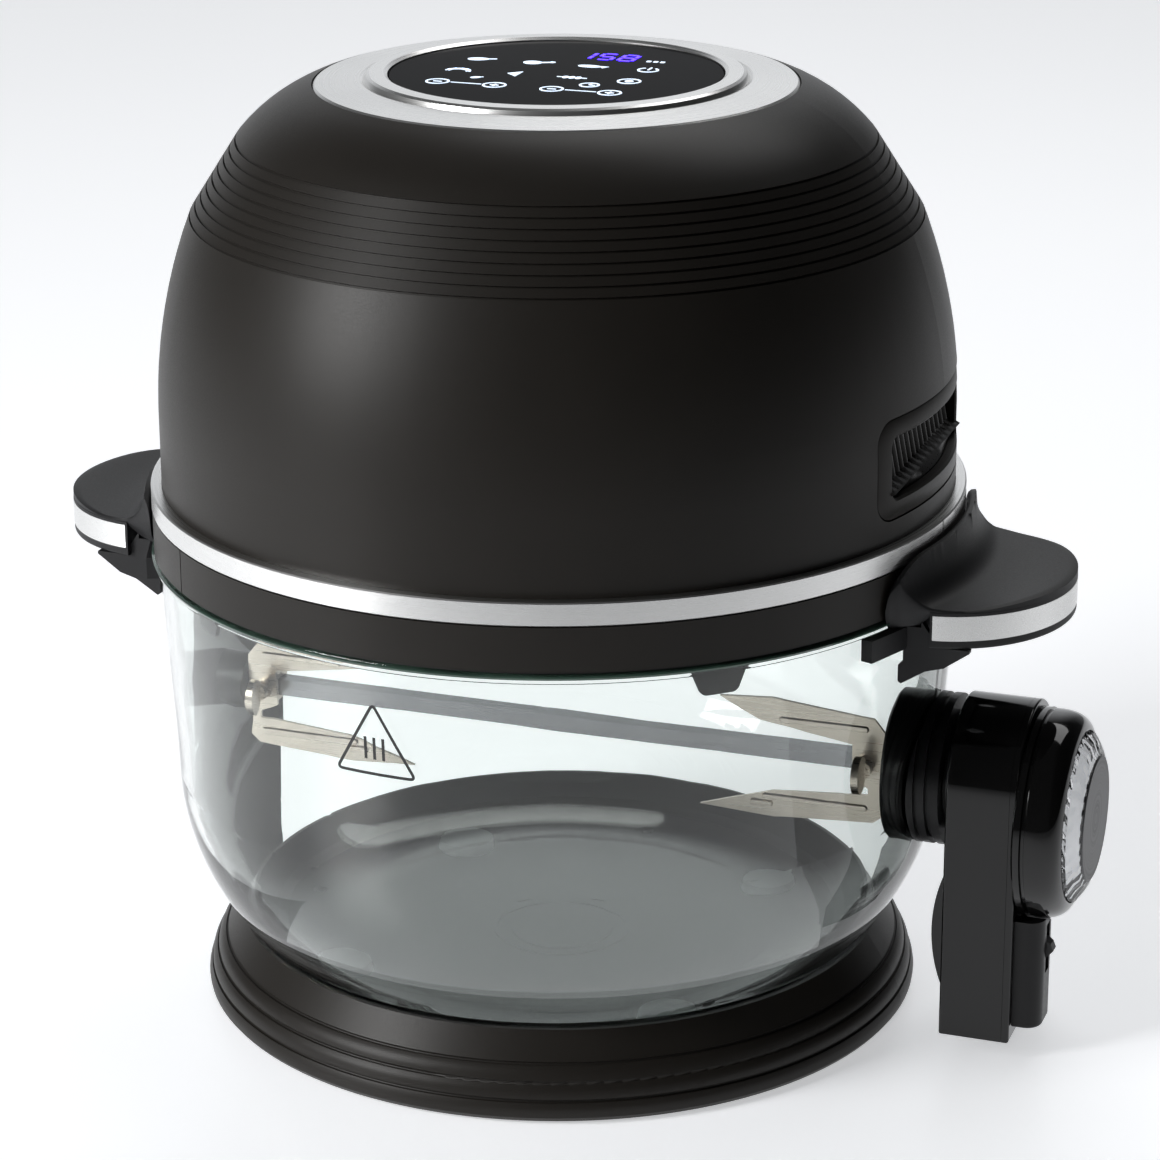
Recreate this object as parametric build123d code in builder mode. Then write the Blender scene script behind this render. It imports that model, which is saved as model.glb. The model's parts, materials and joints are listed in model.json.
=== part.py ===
"""Glass-bowl rotisserie oven: base, lift-off bowl, lift-off heater head and a battery spit motor.

Frame: origin at the centre of the base's underside, +X along the spit towards the motor,
-Y the front, +Z up. All sizes are in millimetres.
"""
from build123d import *
import os
from math import atan2, cos, degrees, pi, radians, sin

os.makedirs("parts", exist_ok=True)

# ---- driving dimensions -------------------------------------------------------------------
RIM_R = 150.0            # outer radius of the glass rim and of the silver trim ring
RUN_GAP = 0.3            # clearance between pieces that move apart
SEAM = 0.2               # clearance between fixed pieces beside each other

FOOT_H = 2.5             # rubber feet under the base
BASE_H = 31.0            # top lip of the base, where the glass leaves it
BASE_FLARE = 13.5        # how far the base's foot stands out past its top lip
BASE_WALL = 2.6
BASE_BULGE = 0.7         # swell of each band between two grooves
BASE_GROOVES = ((0.905, 0.29), (0.74, 0.484), (0.48, 0.67))  # shares of the flare and of the height
PLATE_T = 2.5            # plate under the bowl
PAD_H = 4.0
PAD_R = 11.2
PAD_RING_R = 91.5

BOWL_FLOOR_Z = 16.0      # underside of the glass floor
BOWL_FLOOR_R = 84.0      # flat part of the floor
GLASS_T = 3.8
RIM_Z = 171.8            # underside of the glass rim flange
RIM_T = 3.8

COLLAR_H = 15.8
COLLAR_WALL = 2.5
SEAM_DEG = 46.6          # the collar is two halves, joined at this angle and opposite it
GASKET_T = 0.8
TRIM_H = 8.5
TRIM_STEP = 4.0          # the trim ring stands this far out past the head's wall

WALL_T = 2.6             # head shell
HEAD_WALL_H = 26.0       # straight part of the head above the trim ring
SHOULDER_H = 101.0       # trim ring's top to the lowest groove
SHOULDER_R = 132.2
GROOVES = 9
GROOVE_BAND_R = 115.0
GROOVE_BAND_H = 26.8
GROOVE_W = 0.9
GROOVE_D = 0.8
CROWN_R = 87.5           # opening for the bezel
CROWN_RISE = 19.0        # topmost groove to the opening
GLASS_DISC_R = 60.0

VENT_HALF_DEG = 21.6
VENT_Z = 8.0             # above the trim ring's top
VENT_H = 36.7
VENT_BORDER = 7.0

SPIT_Z = 101.5
SPIT_W = 6.3
SPIT_HALF = 126.4        # square part, from the middle of the bowl to its left end
SPIT_JOURNAL_R = 3.0
SPIT_JOURNAL_L = 11.0
BUSH_R = 28.0
BUSH_TUBE_R = 11.0
BUSH_BORE_R = 7.2
BUSH_FACE_X = 130.5
BUSH_END_X = 153.8

FORK_Y = 5.2             # prongs lie this far in front of the spit's axis
FORK_T = 1.4
FORK_ROOT_X = 127.4
FORK_REACH = 66.0
FORK_SPAN = 20.3         # half the width of the fork at its root
FORK_PRONG_W = 10.6
FORK_CENTRE_DROP = 2.4
THUMB_R = 7.0

HANDLE_REACH = 44.5
HANDLE_HALF_W = 48.5
HANDLE_Z = 165.0
HANDLE_H = 13.2
HANDLE_CENTRE_X = 150.0
HANDLE_BACK_X = 154.2
BAND_Z = 168.0
BAND_H = 9.2
BAND_T = 1.2
BAND_START_X = 155.0
FLANGE_TOP_Z = 196.0
FLANGE_HALF_W = 43.0
FIN_Y = 44.5
FIN_TIP_Z = 150.0

BOX_X = 157.0            # spit motor housing, face towards the bowl
BOX_T = 23.4
BOX_COVER_T = 2.8
BOX_HALF_W = 29.3
BOX_BOTTOM_Z = 8.8
BOX_WALL = 2.2
NECK_R = 22.0
PUCK_R = 38.5
PUCK_Z = 89.0
PUCK_T = 17.0
CRYSTAL_R = 31.5
CAP_R = 23.0
DOOR_W = 36.0
DOOR_H = 53.6
DOOR_Z = 18.0
DOOR_BULGE = 6.4
SWITCH_W = 20.0
SWITCH_T = 10.4
SWITCH_Z = 14.0
SWITCH_H = 42.0
SWITCH_TRAVEL = 5.0
GEAR_MODULE = 1.0
GEAR_TEETH = 24
PINION_TEETH = 10
CELL_R = 7.2
CELL_L = 50.0

# ---- places worked out from the driving dimensions ----------------------------------------
RIM_TOP_Z = RIM_Z + RIM_T
COLLAR_Z = RIM_TOP_Z + GASKET_T
COLLAR_TOP_Z = COLLAR_Z + COLLAR_H
TRIM_Z = COLLAR_TOP_Z + RUN_GAP
TRIM_TOP_Z = TRIM_Z + TRIM_H
HEAD_R = RIM_R - TRIM_STEP
COLLAR_IN_R = RIM_R - 0.2 - COLLAR_WALL
LEDGE_Z = COLLAR_Z + 4.0
LEDGE_T = 2.6
SPIGOT_Z = LEDGE_Z + LEDGE_T + 1.5
BELLY_R = RIM_R - 6.4
LIP_R = BELLY_R - 24.4
BELLY_Z = 90.0
SHOULDER_Z = TRIM_TOP_Z + SHOULDER_H - 2.0
BAND_TOP_Z = SHOULDER_Z + GROOVE_BAND_H
CROWN_Z = BAND_TOP_Z + CROWN_RISE
SHIELD_TOP_Z = TRIM_TOP_Z + 62.0
GUARD_Z = TRIM_TOP_Z + 3.0
FAN_Z = SHIELD_TOP_Z - 26.0
MOTOR_Z = SHIELD_TOP_Z + 14.0
MOTOR_H = 26.0
MOTOR_R = 34.0
SHAFT_R = 3.0
BOX_END_X = BOX_X + BOX_T + BOX_COVER_T
CUP_FACE_X = FORK_ROOT_X + 1.2
PAD_Z = BOWL_FLOOR_Z - 0.1 - PAD_H


def save(part, name):
    """Label a finished piece and write it as parts/NAME.step."""
    part.label = name
    export_step(part, f"parts/{name}.step")


def ring_sketch(r_in, r_out, z_low, z_high):
    """A rectangle on the XZ plane, ready to be revolved about Z."""
    with BuildSketch(Plane.XZ) as sketch:
        with Locations(((r_in + r_out) / 2, (z_low + z_high) / 2)):
            Rectangle(r_out - r_in, z_high - z_low)
    return sketch.sketch


def polar(radius, angle_deg):
    """A point in the XY plane at a radius and an angle from +X."""
    return (radius * cos(radians(angle_deg)), radius * sin(radians(angle_deg)))


# ---- base ---------------------------------------------------------------------------------
def base_shell():
    """Flared ring with three thin grooves that cups the foot of the bowl."""
    top_r = LIP_R + 2.6
    foot_r = top_r + BASE_FLARE
    ledge_z = BASE_H - 8.4 - BASE_WALL
    steps = [(top_r + share * BASE_FLARE, height * BASE_H) for share, height in BASE_GROOVES]
    with BuildPart() as shell:
        with BuildSketch(Plane.XZ):
            with BuildLine():
                low = (foot_r, FOOT_H + 0.6)
                for high in steps:
                    middle = ((low[0] + high[0]) / 2 + BASE_BULGE, (low[1] + high[1]) / 2 + BASE_BULGE / 2)
                    ThreePointArc(low, middle, high)
                    low = high
                Polyline(low, (top_r, BASE_H), (top_r - 1.6, BASE_H), (top_r - 9.6, ledge_z + BASE_WALL),
                         (top_r - 14.0, ledge_z), (top_r - 11.5, ledge_z))
                ThreePointArc((top_r - 11.5, ledge_z), (top_r + 1.7, ledge_z - 3.8),
                              (foot_r - BASE_WALL - 1.3, FOOT_H + 6.5))
                Polyline((foot_r - BASE_WALL - 1.3, FOOT_H + 6.5), (foot_r - BASE_WALL, FOOT_H - 1.2),
                         (foot_r - 1.4, FOOT_H - 1.2), (foot_r, FOOT_H + 0.6))
            make_face()
        revolve(axis=Axis.Z)
        with BuildSketch(Plane.XY.offset(PAD_Z - PLATE_T)):
            Circle(foot_r - BASE_WALL)
            Circle(top_r - 22.0, mode=Mode.SUBTRACT)
        extrude(amount=-2.0)
        for groove_r, groove_z in steps:
            with BuildSketch(Plane.XZ):
                with Locations((groove_r, groove_z)):
                    Circle(0.7)
            revolve(axis=Axis.Z, mode=Mode.SUBTRACT)
        with Locations(*[(*polar(top_r - 18.6, a), PAD_Z - PLATE_T - 2.0) for a in (0, 90, 180, 270)]):
            Cylinder(1.6, 12.0, mode=Mode.SUBTRACT)
    save(shell.part, "base_shell")


def base_plate():
    """Dished plate that closes the base under the bowl."""
    plate_r = LIP_R + 2.6 - 12.0
    with BuildPart() as plate:
        with BuildSketch(Plane.XY.offset(PAD_Z - PLATE_T + SEAM)):
            Circle(plate_r)
        extrude(amount=PLATE_T - SEAM)
        with BuildSketch(Plane.XY.offset(PAD_Z)):
            Circle(26.0)
            Circle(24.8, mode=Mode.SUBTRACT)
            Circle(20.0)
        extrude(amount=0.5)
        with Locations(*[(*polar(plate_r - 6.6, a), PAD_Z) for a in (0, 90, 180, 270)]):
            CounterSinkHole(1.8, 3.2, depth=PLATE_T + 1.0)
    save(plate.part, "base_plate")


def base_fittings():
    """Feet, screws and the pads that carry the glass."""
    with BuildPart() as feet:
        for angle in (45, 135, 225, 315):
            with BuildSketch(Plane.XY):
                with Locations(polar(LIP_R + 4.0, angle)):
                    Circle(6.5)
            extrude(amount=PAD_Z - PLATE_T - 2.0 - SEAM / 2)
        with BuildSketch(Plane.XY):
            Circle(10.0)
        extrude(amount=PAD_Z - PLATE_T + SEAM / 2)
    save(feet.part, "base_feet")
    screw_r = LIP_R + 2.6 - 12.0 - 6.6
    with BuildPart() as screws:
        for angle in (0, 90, 180, 270):
            with BuildSketch(Plane.XY.offset(PAD_Z - 8.0)):
                with Locations(polar(screw_r, angle)):
                    Circle(1.45)
            extrude(amount=7.4)
            with BuildSketch(Plane.XY.offset(PAD_Z - 1.6)):
                with Locations(polar(screw_r, angle)):
                    Circle(1.6)
            extrude(amount=1.2)
    save(screws.part, "base_screws")
    with BuildPart() as pads:
        for angle in (45, 135, 225, 315):
            with BuildSketch(Plane.XY.offset(PAD_Z)):
                with Locations(polar(PAD_RING_R, angle)):
                    Circle(PAD_R)
            extrude(amount=PAD_H, taper=6)
    save(pads.part, "bowl_pads")


# ---- bowl ---------------------------------------------------------------------------------
def bowl_side(inset):
    """Half outline of the bowl's body, moved inwards by inset, as a face on the XZ plane."""
    low_z = BOWL_FLOOR_Z + inset
    belly = BELLY_R - inset
    slope_r = LIP_R - inset * cos(pi / 4)
    slope_z = BASE_H + inset * sin(pi / 4)
    rim = RIM_R - 2.2 - inset
    with BuildSketch(Plane.XZ) as face:
        with BuildLine():
            Line((0, low_z), (BOWL_FLOOR_R, low_z))
            foot = TangentArc((BOWL_FLOOR_R, low_z), (slope_r, slope_z), tangent=(1, 0))
            side = TangentArc((slope_r, slope_z), (belly, BELLY_Z), tangent=foot % 1)
            wall = Bezier(side @ 1, (side @ 1) + (side % 1) * 26, (rim - 0.6, RIM_Z - 26), (rim, RIM_Z))
            Polyline(wall @ 1, (rim, RIM_TOP_Z), (0, RIM_TOP_Z), (0, low_z))
        make_face()
    return face.sketch


def glass_bowl():
    """Clear bowl with a flat floor, a swelling wall, a rim flange and a hole for the spit bush."""
    with BuildPart() as bowl:
        revolve(bowl_side(0.0), axis=Axis.Z)
        with BuildSketch(Plane.XY.offset(RIM_Z)):
            Circle(RIM_R)
        extrude(amount=RIM_T)
        rim_edges = bowl.edges().filter_by(GeomType.CIRCLE).group_by(SortBy.RADIUS)[-1]
        fillet(rim_edges, 1.2)
        revolve(bowl_side(GLASS_T), axis=Axis.Z, mode=Mode.SUBTRACT)
        with Locations(Location((BELLY_R - 4.0, 0, SPIT_Z), (0, 90, 0))):
            Cylinder(BUSH_TUBE_R + 0.6, 24.0, mode=Mode.SUBTRACT)
    save(bowl.part, "glass_bowl")


def collar():
    """Black skirt on the glass rim with an inner ledge, and the gasket under it."""
    with BuildPart() as skirt:
        revolve(ring_sketch(COLLAR_IN_R, RIM_R - 0.2, COLLAR_Z, COLLAR_TOP_Z), axis=Axis.Z)
        revolve(ring_sketch(RIM_R - 7.6, COLLAR_IN_R + 0.5, LEDGE_Z, LEDGE_Z + LEDGE_T), axis=Axis.Z)
        for angle in (SEAM_DEG, SEAM_DEG + 180):
            with BuildSketch(Plane.XY.offset(COLLAR_Z)):
                with Locations(Location((*polar(RIM_R, angle), 0), (0, 0, angle))):
                    Rectangle(1.4, 0.7)
            extrude(amount=COLLAR_H, mode=Mode.SUBTRACT)
    save(skirt.part, "collar_ring")
    with BuildPart() as gasket:
        revolve(ring_sketch(RIM_R - 5.4, RIM_R - 1.0, RIM_TOP_Z, RIM_TOP_Z + GASKET_T), axis=Axis.Z)
    save(gasket.part, "rim_gasket")


def handle_outline(grow):
    """Half-oval plan of a handle on the +X side, grown or shrunk by grow."""
    with BuildSketch() as plan:
        with Locations((HANDLE_CENTRE_X, 0)):
            Ellipse(HANDLE_REACH + grow, HANDLE_HALF_W + grow)
        with Locations((HANDLE_BACK_X, 0)):
            Rectangle(3 * HANDLE_REACH, 3 * HANDLE_HALF_W, align=(Align.MAX, Align.CENTER),
                      mode=Mode.SUBTRACT)
    return plan.sketch


def handle_bracket():
    """Under-rim bracket: an arc plate behind the collar, two curved fins and two clamp lugs."""
    with BuildPart() as bracket:
        revolve(ring_sketch(RIM_R + 0.6, RIM_R + 3.4, HANDLE_Z - 1.6, COLLAR_TOP_Z - 0.5),
                axis=Axis.Z)
        with BuildSketch(Plane.XY.offset(HANDLE_Z - 1.6)):
            with Locations((RIM_R, 0)):
                Rectangle(40, 2 * FIN_Y + 1.6)
        extrude(amount=COLLAR_TOP_Z - HANDLE_Z + 2, mode=Mode.INTERSECT)
        for side in (-1, 1):
            with BuildSketch(Plane.XZ.offset(-side * FIN_Y - 1.5)):
                with BuildLine():
                    Polyline((RIM_R + 0.6, HANDLE_Z + 9), (RIM_R + 0.6, HANDLE_Z + 6.6),
                             (RIM_R - 5.7, HANDLE_Z + 6.6), (RIM_R - 5.7, FIN_TIP_Z + 8.4),
                             (RIM_R - 7.4, FIN_TIP_Z + 6.8), (RIM_R - 7.4, FIN_TIP_Z + 0.8))
                    Line((RIM_R - 7.4, FIN_TIP_Z + 0.8), (RIM_R - 6.2, FIN_TIP_Z))
                    Polyline((RIM_R - 6.2, FIN_TIP_Z), (RIM_R + 2.4, FIN_TIP_Z + 5.5),
                             (RIM_R + 9.0, FIN_TIP_Z + 7.4), (RIM_R + 18.0, HANDLE_Z - 1.2))
                    Polyline((RIM_R + 18.0, HANDLE_Z - 1.2), (RIM_R + 18.0, HANDLE_Z - SEAM),
                             (HANDLE_BACK_X - SEAM, HANDLE_Z - SEAM), (HANDLE_BACK_X - SEAM, HANDLE_Z + 4.0),
                             (RIM_R + 0.6, HANDLE_Z + 9))
                make_face()
            extrude(amount=3.0)
        for angle in (-21.5, 21.5):
            with BuildSketch(Plane.XY.offset(HANDLE_Z - 1.6)):
                with Locations(Location((*polar(RIM_R + 0.2, angle), 0), (0, 0, angle))):
                    Rectangle(4.6, 20.0)
            extrude(amount=RIM_Z - HANDLE_Z + 1.2)
        revolve(bowl_side(-RUN_GAP), axis=Axis.Z, mode=Mode.SUBTRACT)
    return bracket.part


def handle_body():
    """Hollow lower half of the grip with a recess for the silver band."""
    with BuildPart() as body:
        with BuildSketch(Plane.XY.offset(HANDLE_Z)):
            add(handle_outline(0))
        extrude(amount=HANDLE_H)
        bottom = body.faces().sort_by(Axis.Z)[0]
        fillet(bottom.edges().filter_by(GeomType.ELLIPSE), 1.0)
        with BuildSketch(Plane.XY.offset(HANDLE_Z + 2.4)):
            add(handle_outline(-4.2))
            with Locations((HANDLE_CENTRE_X, 0)):
                Rectangle(18.0, 3 * HANDLE_HALF_W, mode=Mode.SUBTRACT)
        extrude(amount=HANDLE_H, mode=Mode.SUBTRACT)
        with BuildSketch(Plane.XY.offset(BAND_Z)):
            add(handle_outline(4))
            add(handle_outline(-BAND_T - 0.1), mode=Mode.SUBTRACT)
            with Locations((BAND_START_X - 20, 0)):
                Rectangle(40, 3 * HANDLE_HALF_W, mode=Mode.SUBTRACT)
        extrude(amount=BAND_H, mode=Mode.SUBTRACT)
        for side in (-1, 1):
            with Locations((HANDLE_CENTRE_X + 6.0, side * 24.0, HANDLE_Z)):
                Cylinder(1.7, 60.0, mode=Mode.SUBTRACT)
    return body.part


def handle_trim():
    """Silver band let into the handle's outer edge."""
    with BuildPart() as band:
        with BuildSketch(Plane.XY.offset(BAND_Z + 0.1)):
            add(handle_outline(0.1))
            add(handle_outline(-BAND_T), mode=Mode.SUBTRACT)
            with Locations((BAND_START_X + 0.1 - 20, 0)):
                Rectangle(40, 3 * HANDLE_HALF_W, mode=Mode.SUBTRACT)
        extrude(amount=BAND_H - 0.2)
    return band.part


def handle_cover():
    """Saddle-shaped top of the grip with a flange that stands against the ring."""
    low = HANDLE_Z + HANDLE_H + 0.05
    with BuildPart() as cover:
        with BuildSketch(Plane.XZ):
            with BuildLine():
                Polyline((RIM_R + 3.6, low), (RIM_R + 3.6, COLLAR_TOP_Z), (RIM_R + 1.0, COLLAR_TOP_Z + 0.6),
                         (RIM_R + 1.0, FLANGE_TOP_Z - 0.8), (RIM_R + 1.8, FLANGE_TOP_Z),
                         (RIM_R + 3.4, FLANGE_TOP_Z - 0.6))
                Bezier((RIM_R + 3.4, FLANGE_TOP_Z - 0.6), (RIM_R + 5.2, FLANGE_TOP_Z - 10.5),
                       (RIM_R + 10.0, low + 2.6), (RIM_R + 23.0, low + 2.0))
                Bezier((RIM_R + 23.0, low + 2.0), (RIM_R + 34.0, low + 2.2), (RIM_R + 40.0, low + 3.2),
                       (RIM_R + 46.0, low + 3.4))
                Polyline((RIM_R + 46.0, low + 3.4), (RIM_R + 46.0, low), (RIM_R + 3.6, low))
            make_face()
        revolve(axis=Axis.Z)
        with BuildSketch(Plane.XY.offset(low - 1)):
            add(handle_outline(0))
            with Locations((HANDLE_BACK_X + 0.1, 0)):
                Rectangle(24.0, 2 * HANDLE_HALF_W - 1.0, align=(Align.MAX, Align.CENTER))
        extrude(amount=40, mode=Mode.INTERSECT)
        with BuildSketch(Plane.YZ.offset(RIM_R - 12)):
            with BuildLine():
                Polyline((-60, low - 1), (60, low - 1), (60, low + 4.2), (FLANGE_HALF_W + 2.0, low + 4.2))
                ThreePointArc((FLANGE_HALF_W + 2.0, low + 4.2), (FLANGE_HALF_W - 1.2, FLANGE_TOP_Z - 4.0),
                              (FLANGE_HALF_W - 9.0, FLANGE_TOP_Z + 1))
                Line((FLANGE_HALF_W - 9.0, FLANGE_TOP_Z + 1), (-FLANGE_HALF_W + 9.0, FLANGE_TOP_Z + 1))
                ThreePointArc((-FLANGE_HALF_W + 9.0, FLANGE_TOP_Z + 1),
                              (-FLANGE_HALF_W + 1.2, FLANGE_TOP_Z - 4.0), (-FLANGE_HALF_W - 2.0, low + 4.2))
                Polyline((-FLANGE_HALF_W - 2.0, low + 4.2), (-60, low + 4.2), (-60, low - 1))
            make_face()
        extrude(amount=70, mode=Mode.INTERSECT)
        for side in (-1, 1):
            with Locations((HANDLE_CENTRE_X + 6.0, side * 24.0, low)):
                Cylinder(1.5, 3.0, mode=Mode.SUBTRACT)
    return cover.part


def handle_screw_set(sides):
    """Screws that hold the grip's two halves together, seen from below."""
    with BuildPart() as screws:
        for x_side in sides:
            for y_side in (-1, 1):
                spot = (x_side * (HANDLE_CENTRE_X + 6.0), y_side * 24.0)
                with BuildSketch(Plane.XY.offset(HANDLE_Z - 0.6)):
                    with Locations(spot):
                        Circle(1.55)
                extrude(amount=HANDLE_H + 0.2)
                with BuildSketch(Plane.XY.offset(HANDLE_Z - 1.4)):
                    with Locations(spot):
                        Circle(3.0)
                extrude(amount=1.3)
    save(screws.part, "handle_screws")


def handles():
    """Both handles: the right-hand set, and its mirror image on the left."""
    makers = {"handle_bracket": handle_bracket, "handle_body": handle_body,
              "handle_trim": handle_trim, "handle_cover": handle_cover}
    for name, make in makers.items():
        right = make()
        save(right, f"{name}_right")
        save(right.mirror(Plane.YZ), f"{name}_left")
    handle_screw_set((-1, 1))


# ---- spit bush and bearings ---------------------------------------------------------------
def bush():
    """Flanged bush clamped through the bowl's wall by a flanged nut, with soft washers."""
    with BuildPart() as inner:
        with BuildSketch(Plane.YZ.offset(BUSH_FACE_X)):
            with Locations((0, SPIT_Z)):
                Circle(BUSH_R)
        extrude(amount=14.0)
        revolve(bowl_side(GLASS_T + RUN_GAP), axis=Axis.Z, mode=Mode.INTERSECT)
        chamfer(inner.edges().filter_by(GeomType.CIRCLE).sort_by(Axis.X)[0], 1.0)
        with BuildSketch(Plane.YZ.offset(BUSH_FACE_X + 2.0)):
            with Locations((0, SPIT_Z)):
                Circle(BUSH_TUBE_R)
        extrude(amount=BUSH_END_X - 1.0 - BUSH_FACE_X - 2.0)
        with BuildSketch(Plane.YZ.offset(BUSH_FACE_X - 1)):
            with Locations((0, SPIT_Z)):
                Circle(BUSH_BORE_R)
        extrude(amount=40.0, mode=Mode.SUBTRACT)
    save(inner.part, "bush_inner")
    with BuildPart() as outer:
        with BuildSketch(Plane.YZ.offset(BELLY_R - 12)):
            with Locations((0, SPIT_Z)):
                Circle(BUSH_R)
        extrude(amount=BUSH_END_X - BELLY_R + 12)
        revolve(bowl_side(-0.8), axis=Axis.Z, mode=Mode.SUBTRACT)
        for groove_x, groove_t in ((BUSH_END_X - 9.4, 1.4), (BUSH_END_X - 5.2, 2.4)):
            with BuildSketch(Plane.YZ.offset(groove_x)):
                with Locations((0, SPIT_Z)):
                    Circle(BUSH_R + 2)
                    Circle(BUSH_R - 2.0, mode=Mode.SUBTRACT)
            extrude(amount=groove_t, mode=Mode.SUBTRACT)
        with BuildSketch(Plane.YZ.offset(BELLY_R - 14)):
            with Locations((0, SPIT_Z)):
                Circle(BUSH_TUBE_R + 0.15)
        extrude(amount=60.0, mode=Mode.SUBTRACT)
    save(outer.part, "bush_outer")
    with BuildPart() as washer:
        with BuildSketch(Plane.YZ.offset(BELLY_R - 12)):
            with Locations((0, SPIT_Z)):
                Circle(BUSH_R - 3.0)
                Circle(BUSH_TUBE_R + 0.3, mode=Mode.SUBTRACT)
        extrude(amount=24)
        revolve(bowl_side(-0.7), axis=Axis.Z, mode=Mode.INTERSECT)
        revolve(bowl_side(0.0), axis=Axis.Z, mode=Mode.SUBTRACT)
    save(washer.part, "bush_washer")


def spit_cup():
    """Blind bearing cup on the bowl's inner wall for the spit's pointed end."""
    with BuildPart() as cup:
        with BuildSketch(Plane.YZ.offset(-BELLY_R - 2)):
            with Locations((0, SPIT_Z)):
                Circle(11.0)
        extrude(amount=BELLY_R + 2 - CUP_FACE_X)
        revolve(bowl_side(GLASS_T), axis=Axis.Z, mode=Mode.INTERSECT)
        with BuildSketch(Plane.YZ.offset(-CUP_FACE_X + 1)):
            with Locations((0, SPIT_Z)):
                Circle(SPIT_JOURNAL_R + 0.08)
        extrude(amount=-1 - (SPIT_HALF + SPIT_JOURNAL_L + 0.4 - CUP_FACE_X), mode=Mode.SUBTRACT)
    save(cup.part, "spit_cup")


# ---- head ---------------------------------------------------------------------------------
def dome_face(inset, low_z):
    """Half outline of the head's dome, moved inwards by inset, from low_z to the crown."""
    wall_top = TRIM_TOP_Z + HEAD_WALL_H
    with BuildSketch(Plane.XZ) as face:
        with BuildLine():
            Line((HEAD_R - inset, low_z), (HEAD_R - inset, wall_top))
            ThreePointArc((HEAD_R - inset, wall_top),
                          (HEAD_R - inset - 3.7, wall_top + 0.53 * (SHOULDER_Z - wall_top)),
                          (SHOULDER_R - inset, SHOULDER_Z))
            Line((SHOULDER_R - inset, SHOULDER_Z), (GROOVE_BAND_R - inset * 0.5, BAND_TOP_Z - inset * 0.84))
            ThreePointArc((GROOVE_BAND_R - inset * 0.5, BAND_TOP_Z - inset * 0.84),
                          (102.6 - inset * 0.4, BAND_TOP_Z + 0.60 * CROWN_RISE - inset * 0.9),
                          (CROWN_R, CROWN_Z - inset))
            Polyline((CROWN_R, CROWN_Z - inset), (0, CROWN_Z - inset), (0, low_z), (HEAD_R - inset, low_z))
        make_face()
    return face.sketch


def vent_outline(grow):
    """Rounded window of a side vent, on the YZ plane's own axes."""
    half_w = HEAD_R * sin(radians(VENT_HALF_DEG)) + grow
    with BuildSketch() as window:
        with Locations((0, TRIM_TOP_Z + VENT_Z + VENT_H / 2)):
            RectangleRounded(2 * half_w, VENT_H + 2 * grow, 9.0 + min(grow, 0))
    return window.sketch


def head_shell():
    """Matt black dome with nine thin grooves, two vent windows and a seat for the bezel."""
    with BuildPart() as shell:
        revolve(dome_face(0.0, SPIGOT_Z), axis=Axis.Z)
        revolve(dome_face(WALL_T, SPIGOT_Z - 1.0), axis=Axis.Z, mode=Mode.SUBTRACT)
        with BuildSketch(Plane.XY.offset(CROWN_Z + 1)):
            Circle(CROWN_R - 0.2)
        extrude(amount=-20, mode=Mode.SUBTRACT)
        revolve(ring_sketch(CROWN_R - 8.0, CROWN_R + 2.0, CROWN_Z - 5.2, CROWN_Z - 3.0), axis=Axis.Z)
        for i in range(GROOVES):
            share = i / (GROOVES - 1)
            groove_r = SHOULDER_R + share * (GROOVE_BAND_R - SHOULDER_R)
            groove_z = SHOULDER_Z + share * GROOVE_BAND_H
            tilt = degrees(atan2(SHOULDER_R - GROOVE_BAND_R, GROOVE_BAND_H))
            with BuildSketch(Plane.XZ):
                with Locations(Location((groove_r, groove_z, 0), (0, 0, tilt))):
                    Rectangle(2 * GROOVE_D, GROOVE_W)
            revolve(axis=Axis.Z, mode=Mode.SUBTRACT)
        with BuildSketch(Plane.YZ):
            add(vent_outline(0.0))
        extrude(amount=RIM_R, both=True, mode=Mode.SUBTRACT)
        with Locations(Location((0, HEAD_R - 2, TRIM_TOP_Z + 24), (90, 0, 0))):
            Cylinder(7.1, 20.0, mode=Mode.SUBTRACT)
    save(shell.part, "head_shell")


def trim_ring():
    """Satin silver ring round the foot of the head, with its closing seam at +X."""
    with BuildPart() as ring:
        revolve(ring_sketch(HEAD_R + 0.1, RIM_R, TRIM_Z, TRIM_TOP_Z), axis=Axis.Z)
        top = ring.edges().filter_by(GeomType.CIRCLE).group_by(SortBy.RADIUS)[-1]
        chamfer(top, 0.5)
        with BuildSketch(Plane.XY.offset(TRIM_Z - 1)):
            with Locations(Location((*polar(RIM_R, -5.2), 0), (0, 0, -5.2))):
                Rectangle(2.0, 0.9)
        extrude(amount=TRIM_H + 2, mode=Mode.SUBTRACT)
    save(ring.part, "trim_ring")


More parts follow.
